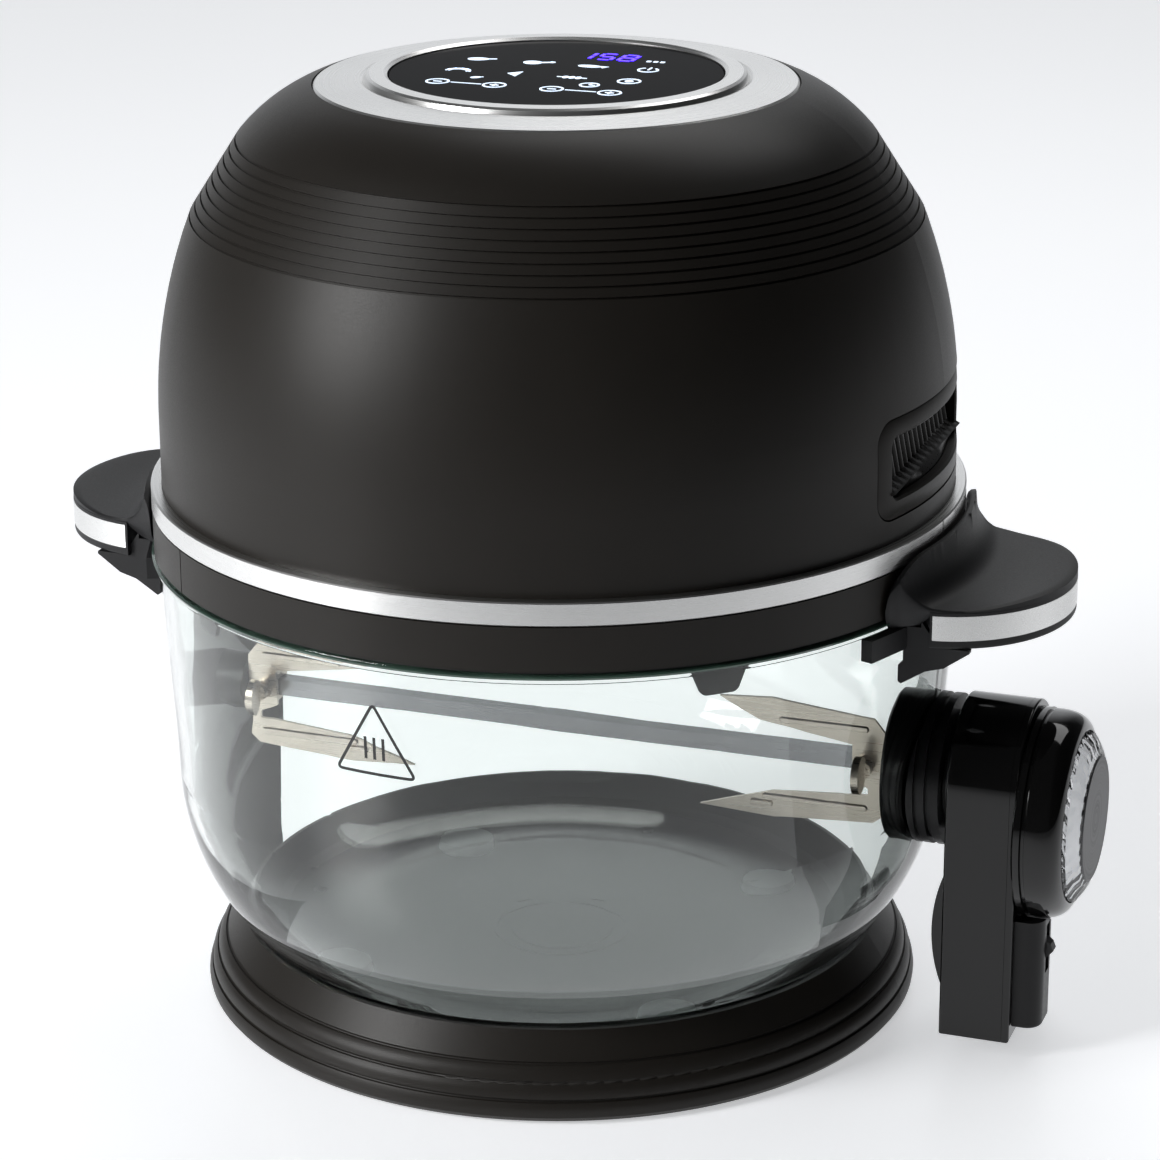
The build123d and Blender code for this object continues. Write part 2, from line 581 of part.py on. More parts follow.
def bezel_and_panel():
    """Stepped silver bezel, black touch glass and the control board below it."""
    edge_z = CROWN_Z - 0.4
    with BuildPart() as bezel:
        with BuildSketch(Plane.XZ):
            with BuildLine():
                Polyline((CROWN_R - 0.6, edge_z), (CROWN_R - 1.4, edge_z + 0.8), (GLASS_DISC_R + 10.2, edge_z + 2.2),
                         (GLASS_DISC_R + 8.8, edge_z + 1.4), (GLASS_DISC_R + 7.8, edge_z + 3.4),
                         (GLASS_DISC_R + 6.8, edge_z + 4.1), (GLASS_DISC_R + 1.6, edge_z + 4.3),
                         (GLASS_DISC_R + 0.3, edge_z + 3.4), (GLASS_DISC_R + 0.3, edge_z + 0.6),
                         (GLASS_DISC_R - 3.0, edge_z + 0.6), (GLASS_DISC_R - 3.0, edge_z - 1.2),
                         (CROWN_R - 6.0, edge_z - 2.4), (CROWN_R - 0.6, edge_z - 2.4), (CROWN_R - 0.6, edge_z))
            make_face()
        revolve(axis=Axis.Z)
    save(bezel.part, "top_bezel")
    with BuildPart() as panel:
        with BuildSketch(Plane.XY.offset(edge_z + 0.7)):
            Circle(GLASS_DISC_R)
        extrude(amount=2.4)
        chamfer(panel.faces().sort_by(Axis.Z)[-1].edges(), 0.4)
    save(panel.part, "touch_glass")
    board_z = edge_z - 7.0
    with BuildPart() as board:
        with BuildSketch(Plane.XY.offset(board_z)):
            Circle(GLASS_DISC_R - 4.0)
        extrude(amount=1.6)
        with BuildSketch(Plane.XY.offset(board_z + 1.6)):
            with Locations((34.0, 14.0)):
                Rectangle(26.0, 14.0)
            with Locations(*[(x, -12.0) for x in (-40.0, -20.0, 0.0, 20.0, 40.0)]):
                Circle(4.0)
        extrude(amount=5.8)
        for angle in (30, 150, 270):
            with BuildSketch(Plane.XY.offset(board_z)):
                with Locations(polar(GLASS_DISC_R - 3.6, angle)):
                    Circle(2.2)
            extrude(amount=edge_z - 1.5 - board_z)
    save(board.part, "control_board")


def vent():
    """Side vent on +X: a flush frame, a sloping scoop behind it and seven upright louvres."""
    floor_z = TRIM_TOP_Z + VENT_Z + VENT_BORDER
    ceiling_z = TRIM_TOP_Z + VENT_Z + VENT_H - VENT_BORDER
    with BuildPart() as opening:
        with BuildSketch(Plane.YZ):
            add(vent_outline(-VENT_BORDER))
        extrude(amount=RIM_R + 5)
    with BuildPart() as scoop:
        with BuildSketch(Plane.XZ):
            with BuildLine():
                Line((HEAD_R - 0.4, floor_z - 1.6), (HEAD_R - 0.4, floor_z + 1.4))
                ThreePointArc((HEAD_R - 0.4, floor_z + 1.4), (HEAD_R - 6.0, floor_z + 8.0),
                              (HEAD_R - 12.0, ceiling_z + 1.4))
                Line((HEAD_R - 12.0, ceiling_z + 1.4), (HEAD_R - 13.6, ceiling_z + 1.4))
                ThreePointArc((HEAD_R - 13.6, ceiling_z + 1.4), (HEAD_R - 7.6, floor_z + 7.0),
                              (HEAD_R - 3.2, floor_z - 1.6))
                Line((HEAD_R - 3.2, floor_z - 1.6), (HEAD_R - 0.4, floor_z - 1.6))
            make_face()
        revolve(axis=Axis.Z)
        revolve(ring_sketch(HEAD_R - 13.6, HEAD_R - WALL_T + 0.2, ceiling_z, ceiling_z + 1.4), axis=Axis.Z)
        with Locations(*[Location((*polar(HEAD_R - 6.5, a), (floor_z + ceiling_z) / 2), (0, 0, a))
                         for a in range(-18, 19, 4)]):
            Box(8.0, 1.2, ceiling_z - floor_z + 0.4)
        with BuildSketch(Plane.YZ):
            add(vent_outline(-VENT_BORDER + 1.6))
        extrude(amount=RIM_R, mode=Mode.INTERSECT)
    with BuildPart() as piece:
        revolve(ring_sketch(HEAD_R - WALL_T, HEAD_R, TRIM_TOP_Z, TRIM_TOP_Z + HEAD_WALL_H), axis=Axis.Z)
        revolve(ring_sketch(HEAD_R - WALL_T - 0.4, HEAD_R - 0.3, TRIM_TOP_Z + HEAD_WALL_H,
                            TRIM_TOP_Z + VENT_Z + VENT_H), axis=Axis.Z)
        with BuildSketch(Plane.YZ):
            add(vent_outline(-0.5))
        extrude(amount=RIM_R, mode=Mode.INTERSECT)
        add(opening.part, mode=Mode.SUBTRACT)
        add(scoop.part)
    return piece.part


def vents():
    """The right vent and its mirror image on the left."""
    right = vent()
    save(right, "vent_right")
    save(right.mirror(Plane.YZ), "vent_left")


def cord_gland():
    """Supply inlet at the back of the head: a flanged bush with a bore for a lead."""
    place = Plane(origin=(0, HEAD_R - WALL_T - 4.0, TRIM_TOP_Z + 24), z_dir=(0, 1, 0))
    with BuildPart() as gland:
        with BuildSketch(place):
            Circle(6.9)
        extrude(amount=WALL_T + 12.0)
        with BuildSketch(place.offset(WALL_T + 4.2)):
            Circle(9.5)
        extrude(amount=2.4)
        with BuildSketch(place):
            Circle(3.6)
        extrude(amount=WALL_T + 12.0, mode=Mode.SUBTRACT)
    save(gland.part, "cord_gland")


def heat_shield():
    """Bright inner dome that closes the head above the cavity and carries the heater and motor."""
    skirt_r = RIM_R - 10.4
    with BuildPart() as shield:
        with BuildSketch(Plane.XZ):
            with BuildLine():
                Polyline((skirt_r, SPIGOT_Z + 0.6), (skirt_r, GUARD_Z - 8.0), (skirt_r - 7.0, GUARD_Z + 12.0),
                         (skirt_r - 18.0, SHIELD_TOP_Z - 16.0), (skirt_r - 34.0, SHIELD_TOP_Z),
                         (0, SHIELD_TOP_Z), (0, SHIELD_TOP_Z + 0.8), (skirt_r - 33.6, SHIELD_TOP_Z + 0.8),
                         (skirt_r - 17.2, SHIELD_TOP_Z - 15.6), (skirt_r - 6.2, GUARD_Z + 12.2),
                         (skirt_r + 0.8, GUARD_Z - 7.8), (skirt_r + 0.8, SPIGOT_Z + 0.6), (skirt_r, SPIGOT_Z + 0.6))
            make_face()
        revolve(axis=Axis.Z)
        with Locations((0, 0, SHIELD_TOP_Z)):
            Cylinder(SHAFT_R + 2.0, 10.0, mode=Mode.SUBTRACT)
        with BuildSketch(Plane.XY.offset(SHIELD_TOP_Z - 1)):
            with PolarLocations(70.0, 12):
                Circle(3.0)
        extrude(amount=3, mode=Mode.SUBTRACT)
    save(shield.part, "heat_shield")


def locating_tabs():
    """Four bent tabs under the head that centre it in the bowl."""
    tab_r = RIM_R - 10.6
    with BuildPart() as keep:
        for angle in (47.3, 132.7, 227.3, 312.7):
            with BuildSketch(Plane(origin=(0, 0, RIM_Z), x_dir=(*polar(1, angle + 90), 0),
                                   z_dir=(*polar(1, angle), 0))):
                with BuildLine():
                    Polyline((-11.0, 26.0), (-11.0, -1.0), (-10.0, -2.6), (-7.6, -8.4))
                    ThreePointArc((-7.6, -8.4), (-6.4, -10.2), (-4.6, -10.8))
                    Line((-4.6, -10.8), (4.6, -10.8))
                    ThreePointArc((4.6, -10.8), (6.4, -10.2), (7.6, -8.4))
                    Polyline((7.6, -8.4), (10.0, -2.6), (11.0, -1.0), (11.0, 26.0), (-11.0, 26.0))
                make_face()
            extrude(amount=RIM_R)
    with BuildPart() as tabs:
        revolve(ring_sketch(tab_r - 1.4, tab_r, RIM_Z - 10.8, SPIGOT_Z + 12.0), axis=Axis.Z)
        add(keep.part, mode=Mode.INTERSECT)
    save(tabs.part, "locating_tabs")


def heating_element():
    """Two-turn sheathed heater with its two ends turned up through the shield."""
    tube_r = 3.2
    with BuildPart() as heater:
        for coil_r in (78.0, 92.0):
            with BuildSketch(Plane.XZ):
                with Locations((coil_r, FAN_Z + 4.0)):
                    RegularPolygon(tube_r, 8, rotation=22.5)
            revolve(axis=Axis.Z)
        for angle in (84.0, 96.0):
            with BuildSketch(Plane.XY.offset(FAN_Z + 4.0)):
                with Locations(Location((*polar(92.0, angle), 0), (0, 0, angle))):
                    Rectangle(4.6, 4.6)
            extrude(amount=SHIELD_TOP_Z - FAN_Z - 4.2)
        with Locations(*[Location((*polar(85.0, a), FAN_Z + 7.0), (0, 0, a)) for a in (30, 150, 270)]):
            Box(20.0, 6.0, 2.6)
        for angle in (30, 150, 270):
            with BuildSketch(Plane.XY.offset(FAN_Z + 7.0)):
                with Locations(Location((*polar(85.0, angle), 0), (0, 0, angle))):
                    Rectangle(4.0, 4.0)
            extrude(amount=SHIELD_TOP_Z - FAN_Z - 7.0)
    save(heater.part, "heating_element")


def fan_guard():
    """Guard of flat rings on spokes that keeps food off the fan and the heater."""
    wire = 2.0
    with BuildPart() as guard:
        for ring_r in (16.0, 40.0, 64.0, 88.0, 112.0, RIM_R - 19.0):
            with BuildSketch(Plane.XY.offset(GUARD_Z)):
                Circle(ring_r + wire / 2)
                Circle(ring_r - wire / 2, mode=Mode.SUBTRACT)
            extrude(amount=wire)
        with BuildSketch(Plane.XY.offset(GUARD_Z + wire - 0.4)):
            for angle in range(0, 180, 45):
                Rectangle(2 * (RIM_R - 18.4), wire, rotation=angle + 10)
            Circle(12.0, mode=Mode.SUBTRACT)
        extrude(amount=wire)
    save(guard.part, "fan_guard")


def fan_wheel(name, disc_r, low_z, height, blades, tilt):
    """A fan wheel: a hub, a thin disc and upright blades."""
    with BuildPart() as wheel:
        with BuildSketch(Plane.XY.offset(low_z)):
            Circle(9.0)
        extrude(amount=height)
        with BuildSketch(Plane.XY.offset(low_z + height - 1.0)):
            Circle(disc_r)
        extrude(amount=1.0)
        with Locations(*[Location((*polar(disc_r * 0.56, 360 * i / blades), low_z + height / 2),
                                  (0, 0, 360 * i / blades + tilt)) for i in range(blades)]):
            Box(disc_r * 0.84, 1.0, height)
        with BuildSketch(Plane.XY.offset(low_z - 1)):
            Circle(SHAFT_R)
        extrude(amount=height + 2, mode=Mode.SUBTRACT)
    save(wheel.part, name)


def fan_set():
    """Fan motor with its bracket, the shaft and the two fan wheels."""
    with BuildPart() as motor:
        with BuildSketch(Plane.XY.offset(MOTOR_Z)):
            Circle(MOTOR_R)
        extrude(amount=MOTOR_H)
        with BuildSketch(Plane.XY.offset(MOTOR_Z - 4)):
            Circle(12.0)
        extrude(amount=MOTOR_H + 8)
        with BuildSketch(Plane.XY.offset(MOTOR_Z - 5)):
            Circle(SHAFT_R + 0.05)
        extrude(amount=MOTOR_H + 10, mode=Mode.SUBTRACT)
    save(motor.part, "fan_motor")
    with BuildPart() as bracket:
        with BuildSketch(Plane.XY.offset(MOTOR_Z - 1.6)):
            Rectangle(2 * MOTOR_R + 14.0, 34.0)
            Circle(12.4, mode=Mode.SUBTRACT)
        extrude(amount=1.5)
        for side in (-1, 1):
            with Locations((side * (MOTOR_R + 6.2), 0, SHIELD_TOP_Z + 0.9)):
                Box(1.6, 34.0, MOTOR_Z - SHIELD_TOP_Z - 1.0, align=(Align.CENTER, Align.CENTER, Align.MIN))
            with Locations((side * (MOTOR_R + 13.0), 0, SHIELD_TOP_Z + 0.9)):
                Box(15.0, 34.0, 1.3, align=(Align.CENTER, Align.CENTER, Align.MIN))
    save(bracket.part, "motor_bracket")
    with BuildPart() as shaft:
        with BuildSketch(Plane.XY.offset(FAN_Z)):
            Circle(SHAFT_R)
        extrude(amount=MOTOR_Z + MOTOR_H + 20.0 - FAN_Z)
    save(shaft.part, "fan_shaft")
    fan_wheel("convection_fan", 60.0, FAN_Z + 1.0, 16.0, 10, 16)
    fan_wheel("cooling_fan", 44.0, MOTOR_Z + MOTOR_H + 6.0, 10.0, 12, 24)


def head_fittings():
    """Seal under the head's wall and the screws that hold its parts to the shield."""
    with BuildPart() as seal:
        revolve(ring_sketch(HEAD_R - WALL_T - 0.6, HEAD_R, LEDGE_Z + LEDGE_T + RUN_GAP, SPIGOT_Z), axis=Axis.Z)
    save(seal.part, "head_seal")
    with BuildPart() as screws:
        for side in (-1, 1):
            for y in (-8.0, 8.0):
                spot = (side * (MOTOR_R + 14.0), y)
                with BuildSketch(Plane.XY.offset(SHIELD_TOP_Z + 2.3)):
                    with Locations(spot):
                        Circle(3.4)
                extrude(amount=2.0)
    save(screws.part, "motor_screws")


# ---- spit and forks -----------------------------------------------------------------------
def spit_rod():
    """Square spit with a turned journal at the left end and a bare square end in the drive."""
    with BuildPart() as rod:
        with BuildSketch(Plane.YZ.offset(-SPIT_HALF)):
            with Locations((0, SPIT_Z)):
                Rectangle(SPIT_W, SPIT_W)
        extrude(amount=SPIT_HALF + BUSH_END_X - 5.0)
        chamfer(rod.faces().sort_by(Axis.X)[-1].edges(), 0.8)
        with BuildSketch(Plane.YZ.offset(-SPIT_HALF - SPIT_JOURNAL_L)):
            with Locations((0, SPIT_Z)):
                Circle(SPIT_JOURNAL_R)
        extrude(amount=SPIT_JOURNAL_L + 1.0)
        chamfer(rod.faces().sort_by(Axis.X)[0].edges(), 1.2)
    save(rod.part, "spit_rod")


def fork():
    """Flat two-pronged fork on a square sleeve, with a long and a short rib on each prong."""
    top = FORK_SPAN - FORK_CENTRE_DROP
    bottom = -FORK_SPAN - FORK_CENTRE_DROP
    tip_x = FORK_ROOT_X - FORK_REACH
    with BuildPart() as piece:
        with BuildSketch(Plane.XZ.offset(FORK_Y - FORK_T / 2)):
            with BuildLine():
                Polyline((FORK_ROOT_X, SPIT_Z + bottom + 3), (FORK_ROOT_X, SPIT_Z + top - 5),
                         (FORK_ROOT_X - 4.0, SPIT_Z + top), (tip_x + 24, SPIT_Z + top + 4.0),
                         (tip_x + 3.4, SPIT_Z + top + 2.2), (tip_x + 19, SPIT_Z + top - 5.2),
                         (FORK_ROOT_X - 12.0, SPIT_Z + top - FORK_PRONG_W),
                         (FORK_ROOT_X - 12.0, SPIT_Z - 6.4), (FORK_ROOT_X - 6.0, SPIT_Z - 9.4),
                         (FORK_ROOT_X - 6.0, SPIT_Z + bottom + FORK_PRONG_W),
                         (tip_x + 24, SPIT_Z + bottom + 7.8), (tip_x - 4.0, SPIT_Z + bottom - 1.0),
                         (tip_x + 22, SPIT_Z + bottom - 2.4), (FORK_ROOT_X - 4.0, SPIT_Z + bottom),
                         (FORK_ROOT_X, SPIT_Z + bottom + 3))
            make_face()
        extrude(amount=FORK_T)
        with BuildSketch(Plane.XZ.offset(FORK_Y + FORK_T / 2)):
            for rib_x, rib_l, rib_z in ((tip_x + 43.0, 34.0, top - 4.2), (tip_x + 40.0, 40.0, bottom + 5.4),
                                        (tip_x + 20.0, 9.0, bottom + 2.6)):
                with Locations((rib_x, SPIT_Z + rib_z)):
                    SlotOverall(rib_l, 2.6)
        extrude(amount=0.8, taper=30)
        with BuildSketch(Plane.YZ.offset(FORK_ROOT_X - 11.6)):
            with Locations((0, SPIT_Z)):
                Rectangle(2 * FORK_Y, 2 * FORK_Y)
                Rectangle(SPIT_W + 0.2, SPIT_W + 0.2, mode=Mode.SUBTRACT)
        extrude(amount=9.2)
        with BuildSketch(Plane.XZ.offset(FORK_Y - 0.4)):
            with Locations((FORK_ROOT_X - 7.0, SPIT_Z)):
                Circle(3.6)
        extrude(amount=3.4)
        with BuildSketch(Plane.XZ):
            with Locations((FORK_ROOT_X - 7.0, SPIT_Z)):
                Circle(2.05)
        extrude(amount=12.0, mode=Mode.SUBTRACT)
    return piece.part


def thumb_screw():
    """Screw with a flat oval thumb head that locks a fork on the spit."""
    axis_x = FORK_ROOT_X - 7.0
    tip_y = SPIT_W / 2 + 0.1
    with BuildPart() as screw:
        with BuildSketch(Plane.XZ.offset(tip_y)):
            with Locations((axis_x, SPIT_Z)):
                Circle(2.0)
        extrude(amount=9.6)
        with BuildSketch(Plane.XZ.offset(tip_y + 6.6)):
            with Locations((axis_x, SPIT_Z)):
                Circle(3.4)
        extrude(amount=2.4)
        with BuildSketch(Plane.YZ.offset(axis_x - 1.3)):
            with Locations((-tip_y - 13.6, SPIT_Z)):
                Ellipse(6.2, THUMB_R)
        extrude(amount=2.6)
    return screw.part


def forks():
    """Both forks with their screws: the right-hand pair and its mirror image."""
    for name, make in (("fork", fork), ("thumb_screw", thumb_screw)):
        right = make()
        save(right, f"{name}_right")
        save(right.mirror(Plane.YZ), f"{name}_left")


# ---- spit motor unit ----------------------------------------------------------------------
def box_outline(inset):
    """Housing outline on the YZ plane: a flat-bottomed box with a half-round top."""
    half = BOX_HALF_W - inset
    with BuildSketch() as outline:
        with Locations((0, (BOX_BOTTOM_Z + inset + SPIT_Z) / 2)):
            Rectangle(2 * half, SPIT_Z - BOX_BOTTOM_Z - inset)
        with Locations((0, SPIT_Z)):
            Circle(half)
    return outline.sketch


def door_outline(grow):
    """Battery door outline on the YZ plane."""
    with BuildSketch() as outline:
        with Locations((0, DOOR_Z + DOOR_H / 2)):
            RectangleRounded(DOOR_W + 2 * grow, DOOR_H + 2 * grow, 5.0)
    return outline.sketch


def motor_housing():
    """Housing shell towards the bowl, with a neck for the drive and a battery opening."""
    with BuildPart() as box:
        with BuildSketch(Plane.YZ.offset(BOX_X)):
            add(box_outline(0.0))
        extrude(amount=BOX_T)
        edge = box.faces().sort_by(Axis.X)[0].edges()
        fillet(edge, 0.9)
        with BuildSketch(Plane.YZ.offset(BUSH_END_X + RUN_GAP)):
            with Locations((0, SPIT_Z)):
                Circle(NECK_R)
        extrude(amount=BOX_X - BUSH_END_X)
        with BuildSketch(Plane.YZ.offset(BOX_X + BOX_WALL)):
            add(box_outline(BOX_WALL))
        extrude(amount=BOX_T, mode=Mode.SUBTRACT)
        with BuildSketch(Plane.YZ.offset(BOX_X - 10)):
            with Locations((0, SPIT_Z)):
                Circle(BUSH_BORE_R)
        extrude(amount=20, mode=Mode.SUBTRACT)
        with BuildSketch(Plane.YZ.offset(BOX_X - 1)):
            add(door_outline(-4.0))
        extrude(amount=BOX_WALL + 1.5, mode=Mode.SUBTRACT)
    save(box.part, "motor_housing")
    with BuildPart() as cover:
        with BuildSketch(Plane.YZ.offset(BOX_X + BOX_T + 0.1)):
            add(box_outline(0.0))
        extrude(amount=BOX_COVER_T - 0.1)
        edge = cover.faces().sort_by(Axis.X)[-1].edges()
        fillet(edge, 0.9)
    save(cover.part, "housing_cover")


def battery_door():
    """Bulged door over the cells on the face towards the bowl."""
    with BuildPart() as door:
        with BuildSketch(Plane.YZ.offset(BOX_X - 8)):
            add(door_outline(0.0))
        extrude(amount=8 - 0.2)
        with BuildSketch(Plane.XZ):
            with BuildLine():
                Line((BOX_X, DOOR_Z - 0.5), (BOX_X, DOOR_Z + DOOR_H + 0.5))
                ThreePointArc((BOX_X, DOOR_Z + DOOR_H + 0.5), (BOX_X - DOOR_BULGE, DOOR_Z + DOOR_H / 2),
                              (BOX_X, DOOR_Z - 0.5))
            make_face()
        extrude(amount=30, both=True, mode=Mode.INTERSECT)
        for i in range(4):
            with Locations((BOX_X - DOOR_BULGE, 0, DOOR_Z + DOOR_H / 2 - 4.5 + 3.0 * i)):
                Box(1.2, 16.0, 1.2, mode=Mode.SUBTRACT)
    save(door.part, "battery_cover")


def puck():
    """Round front of the motor unit: black puck, faceted clear ring and grey cap."""
    start = BOX_END_X + SEAM / 2
    nose = start + PUCK_T
    turn = Axis((0, 0, PUCK_Z), (1, 0, 0))
    with BuildPart() as body:
        with BuildSketch(Plane.XZ):
            with BuildLine():
                Polyline((start, PUCK_Z), (start, PUCK_Z + PUCK_R - 1.0), (start + 0.8, PUCK_Z + PUCK_R),
                         (start + 3.0, PUCK_Z + PUCK_R), (start + 3.4, PUCK_Z + PUCK_R - 1.2),
                         (start + 4.4, PUCK_Z + PUCK_R - 1.2), (start + 4.8, PUCK_Z + PUCK_R - 0.2))
                Bezier((start + 4.8, PUCK_Z + PUCK_R - 0.2), (start + 12.6, PUCK_Z + PUCK_R),
                       (nose - 1.0, PUCK_Z + PUCK_R - 2.4), (nose, PUCK_Z + CRYSTAL_R + 0.6))
                Polyline((nose, PUCK_Z + CRYSTAL_R + 0.6), (nose, PUCK_Z + CRYSTAL_R + 0.1),
                         (nose - 3.0, PUCK_Z + CRYSTAL_R + 0.1), (nose - 3.0, PUCK_Z), (start, PUCK_Z))
            make_face()
        revolve(axis=turn)
    save(body.part, "puck_body")
    facets = 24
    with BuildPart() as crystal:
        with BuildSketch(Plane.YZ.offset(nose - 2.9)):
            with Locations((0, PUCK_Z)):
                Circle(CRYSTAL_R)
        extrude(amount=2.9)
        with BuildSketch(Plane.YZ.offset(nose)):
            with Locations((0, PUCK_Z)):
                RegularPolygon(CRYSTAL_R - 0.3, facets)
        with BuildSketch(Plane.YZ.offset(nose + 4.2)):
            with Locations(Location((0, PUCK_Z, 0), (0, 0, 180 / facets))):
                RegularPolygon(CAP_R + 0.8, facets)
        loft()
        with BuildSketch(Plane.YZ.offset(nose - 3.0)):
            with Locations((0, PUCK_Z)):
                Circle(CAP_R - 1.4)
        extrude(amount=10, mode=Mode.SUBTRACT)
    save(crystal.part, "crystal_ring")
    with BuildPart() as cap:
        with BuildSketch(Plane.YZ.offset(nose - 2.9)):
            with Locations((0, PUCK_Z)):
                Circle(CAP_R - 1.6)
        extrude(amount=7.2)
        with BuildSketch(Plane.YZ.offset(nose + 4.3)):
            with Locations((0, PUCK_Z)):
                Circle(CAP_R)
        extrude(amount=1.4)
        chamfer(cap.faces().sort_by(Axis.X)[-1].edges(), 0.5)
    save(cap.part, "puck_cap")


def switch():
    """Switch block under the puck, with its slot, and the sliding knob."""
    front_y = -BOX_HALF_W + 3.0
    mid_y = front_y + SWITCH_W / 2
    face_x = BOX_END_X + SWITCH_T
    slot_z = SWITCH_Z + 0.70 * SWITCH_H
    with BuildPart() as block:
        with BuildSketch(Plane.XY.offset(SWITCH_Z)):
            with Locations((BOX_END_X + SEAM / 2 + SWITCH_T / 2 - SEAM / 4, mid_y)):
                Rectangle(SWITCH_T - SEAM / 2, SWITCH_W)
        extrude(amount=SWITCH_H)
        outer_edges = block.edges().filter_by(Axis.Z).group_by(Axis.X)[-1]
        fillet(outer_edges, 6.0)
        fillet(block.faces().sort_by(Axis.Z)[0].edges(), 1.2)
        with BuildSketch(Plane.YZ.offset(face_x - 4.0)):
            with Locations((mid_y, slot_z)):
                Rectangle(5.4, 2 * SWITCH_TRAVEL + 9.0)
        extrude(amount=6.0, mode=Mode.SUBTRACT)
        with Locations(Location((BOX_END_X + 12, 0, PUCK_Z), (0, 90, 0))):
            Cylinder(PUCK_R + SEAM, 40.0, mode=Mode.SUBTRACT)
    save(block.part, "switch_block")
    with BuildPart() as knob:
        with BuildSketch(Plane.XZ.offset(-mid_y - 2.3)):
            with BuildLine():
                Polyline((face_x - 3.6, slot_z - 4.0), (face_x - 0.4, slot_z - 4.0), (face_x + 2.6, slot_z - 0.6),
                         (face_x + 1.6, slot_z + 2.0), (face_x - 0.4, slot_z + 3.6), (face_x - 3.6, slot_z + 4.0),
                         (face_x - 3.6, slot_z - 4.0))
            make_face()
        extrude(amount=4.6)
    save(knob.part, "switch_knob")


def spur_gear(teeth, turned):
    """Plain straight-sided spur gear outline with backlash, turned by an angle in degrees."""
    pitch_r = teeth * GEAR_MODULE / 2
    corners = []
    for i in range(teeth):
        centre = turned + 360 * i / teeth
        for radius, half_share in ((pitch_r - 1.2 * GEAR_MODULE, -0.30), (pitch_r, -0.205),
                                   (pitch_r + 0.85 * GEAR_MODULE, -0.10), (pitch_r + 0.85 * GEAR_MODULE, 0.10),
                                   (pitch_r, 0.205), (pitch_r - 1.2 * GEAR_MODULE, 0.30)):
            corners.append(polar(radius, centre + half_share * 360 / teeth))
    with BuildSketch() as outline:
        with BuildLine():
            Polyline(*corners, close=True)
        make_face()
    return outline.sketch


def drive_train():
    """Driven gear with the spit socket, the motor's pinion and the small gear motor."""
    gear_x = BOX_X + BOX_WALL + 1.0
    centres = (GEAR_TEETH + PINION_TEETH) * GEAR_MODULE / 2
    gear_plane = Plane(origin=(gear_x, 0, SPIT_Z), x_dir=(0, 1, 0), z_dir=(1, 0, 0))
    with BuildPart() as drive:
        with BuildSketch(gear_plane):
            add(spur_gear(GEAR_TEETH, 90.0))
        extrude(amount=4.0)
        with BuildSketch(Plane.YZ.offset(BUSH_END_X - 13.0)):
            with Locations((0, SPIT_Z)):
                Circle(BUSH_BORE_R - 0.06)
        extrude(amount=gear_x + 4.0 - BUSH_END_X + 13.0)
        with BuildSketch(Plane.YZ.offset(BUSH_END_X - 14.0)):
            with Locations((0, SPIT_Z)):
                Rectangle(SPIT_W + 0.3, SPIT_W + 0.3)
        extrude(amount=11.0, mode=Mode.SUBTRACT)
    save(drive.part, "drive_gear")
    pinion_plane = Plane(origin=(gear_x, 0, SPIT_Z + centres), x_dir=(0, 1, 0), z_dir=(1, 0, 0))
    with BuildPart() as pinion:
        with BuildSketch(pinion_plane):
            add(spur_gear(PINION_TEETH, -90.0 + 180.0 / PINION_TEETH))
        extrude(amount=4.4)
        with BuildSketch(pinion_plane):
            Circle(1.5)
        extrude(amount=9.0)
    save(pinion.part, "motor_pinion")
    with BuildPart() as motor:
        with BuildSketch(pinion_plane.offset(5.0)):
            Circle(9.4)
        extrude(amount=BOX_T - BOX_WALL - 6.2)
        with BuildSketch(pinion_plane.offset(4.9)):
            Circle(1.56)
        extrude(amount=4.3, mode=Mode.SUBTRACT)
    save(motor.part, "gear_motor")


def cells():
    """Two cells standing side by side, with their contact strips."""
    cell_x = BOX_X + BOX_WALL + CELL_R + 1.2
    low_z = DOOR_Z + (DOOR_H - CELL_L) / 2
    with BuildPart() as pair:
        for y in (-9.0, 9.0):
            with BuildSketch(Plane.XY.offset(low_z)):
                with Locations((cell_x, y)):
                    Circle(CELL_R)
            extrude(amount=CELL_L - 1.5)
            with BuildSketch(Plane.XY.offset(low_z + CELL_L - 1.5)):
                with Locations((cell_x, y)):
                    Circle(2.6)
            extrude(amount=1.5)
    save(pair.part, "batteries")
    with BuildPart() as strips:
        for z in (low_z - 0.9, low_z + CELL_L + 0.1):
            with BuildSketch(Plane.XY.offset(z)):
                with Locations((cell_x + 1.0, 0)):
                    Rectangle(13.0, 34.0)
            extrude(amount=0.8)
    save(strips.part, "battery_contacts")
    with BuildPart() as screws:
        for y, z in ((-BOX_HALF_W + 6.5, BOX_BOTTOM_Z + 6.5), (BOX_HALF_W - 6.5, BOX_BOTTOM_Z + 6.5),
                     (-BOX_HALF_W + 6.5, SPIT_Z - 6), (BOX_HALF_W - 6.5, SPIT_Z - 6)):
            with BuildSketch(Plane.YZ.offset(BOX_X + BOX_WALL + 0.1)):
                with Locations((y, z)):
                    Circle(2.4)
            extrude(amount=BOX_T - BOX_WALL - 0.2)
    save(screws.part, "housing_posts")


def main():
    """Build and write every piece."""
    base_shell()
    base_plate()
    base_fittings()
    glass_bowl()
    collar()
    handles()
    bush()
    spit_cup()
    head_shell()
    trim_ring()
    bezel_and_panel()
    vents()
    cord_gland()
    heat_shield()
    locating_tabs()
    heating_element()
    fan_guard()
    fan_set()
    head_fittings()
    spit_rod()
    forks()
    motor_housing()
    battery_door()
    puck()
    switch()
    drive_train()
    cells()


main()
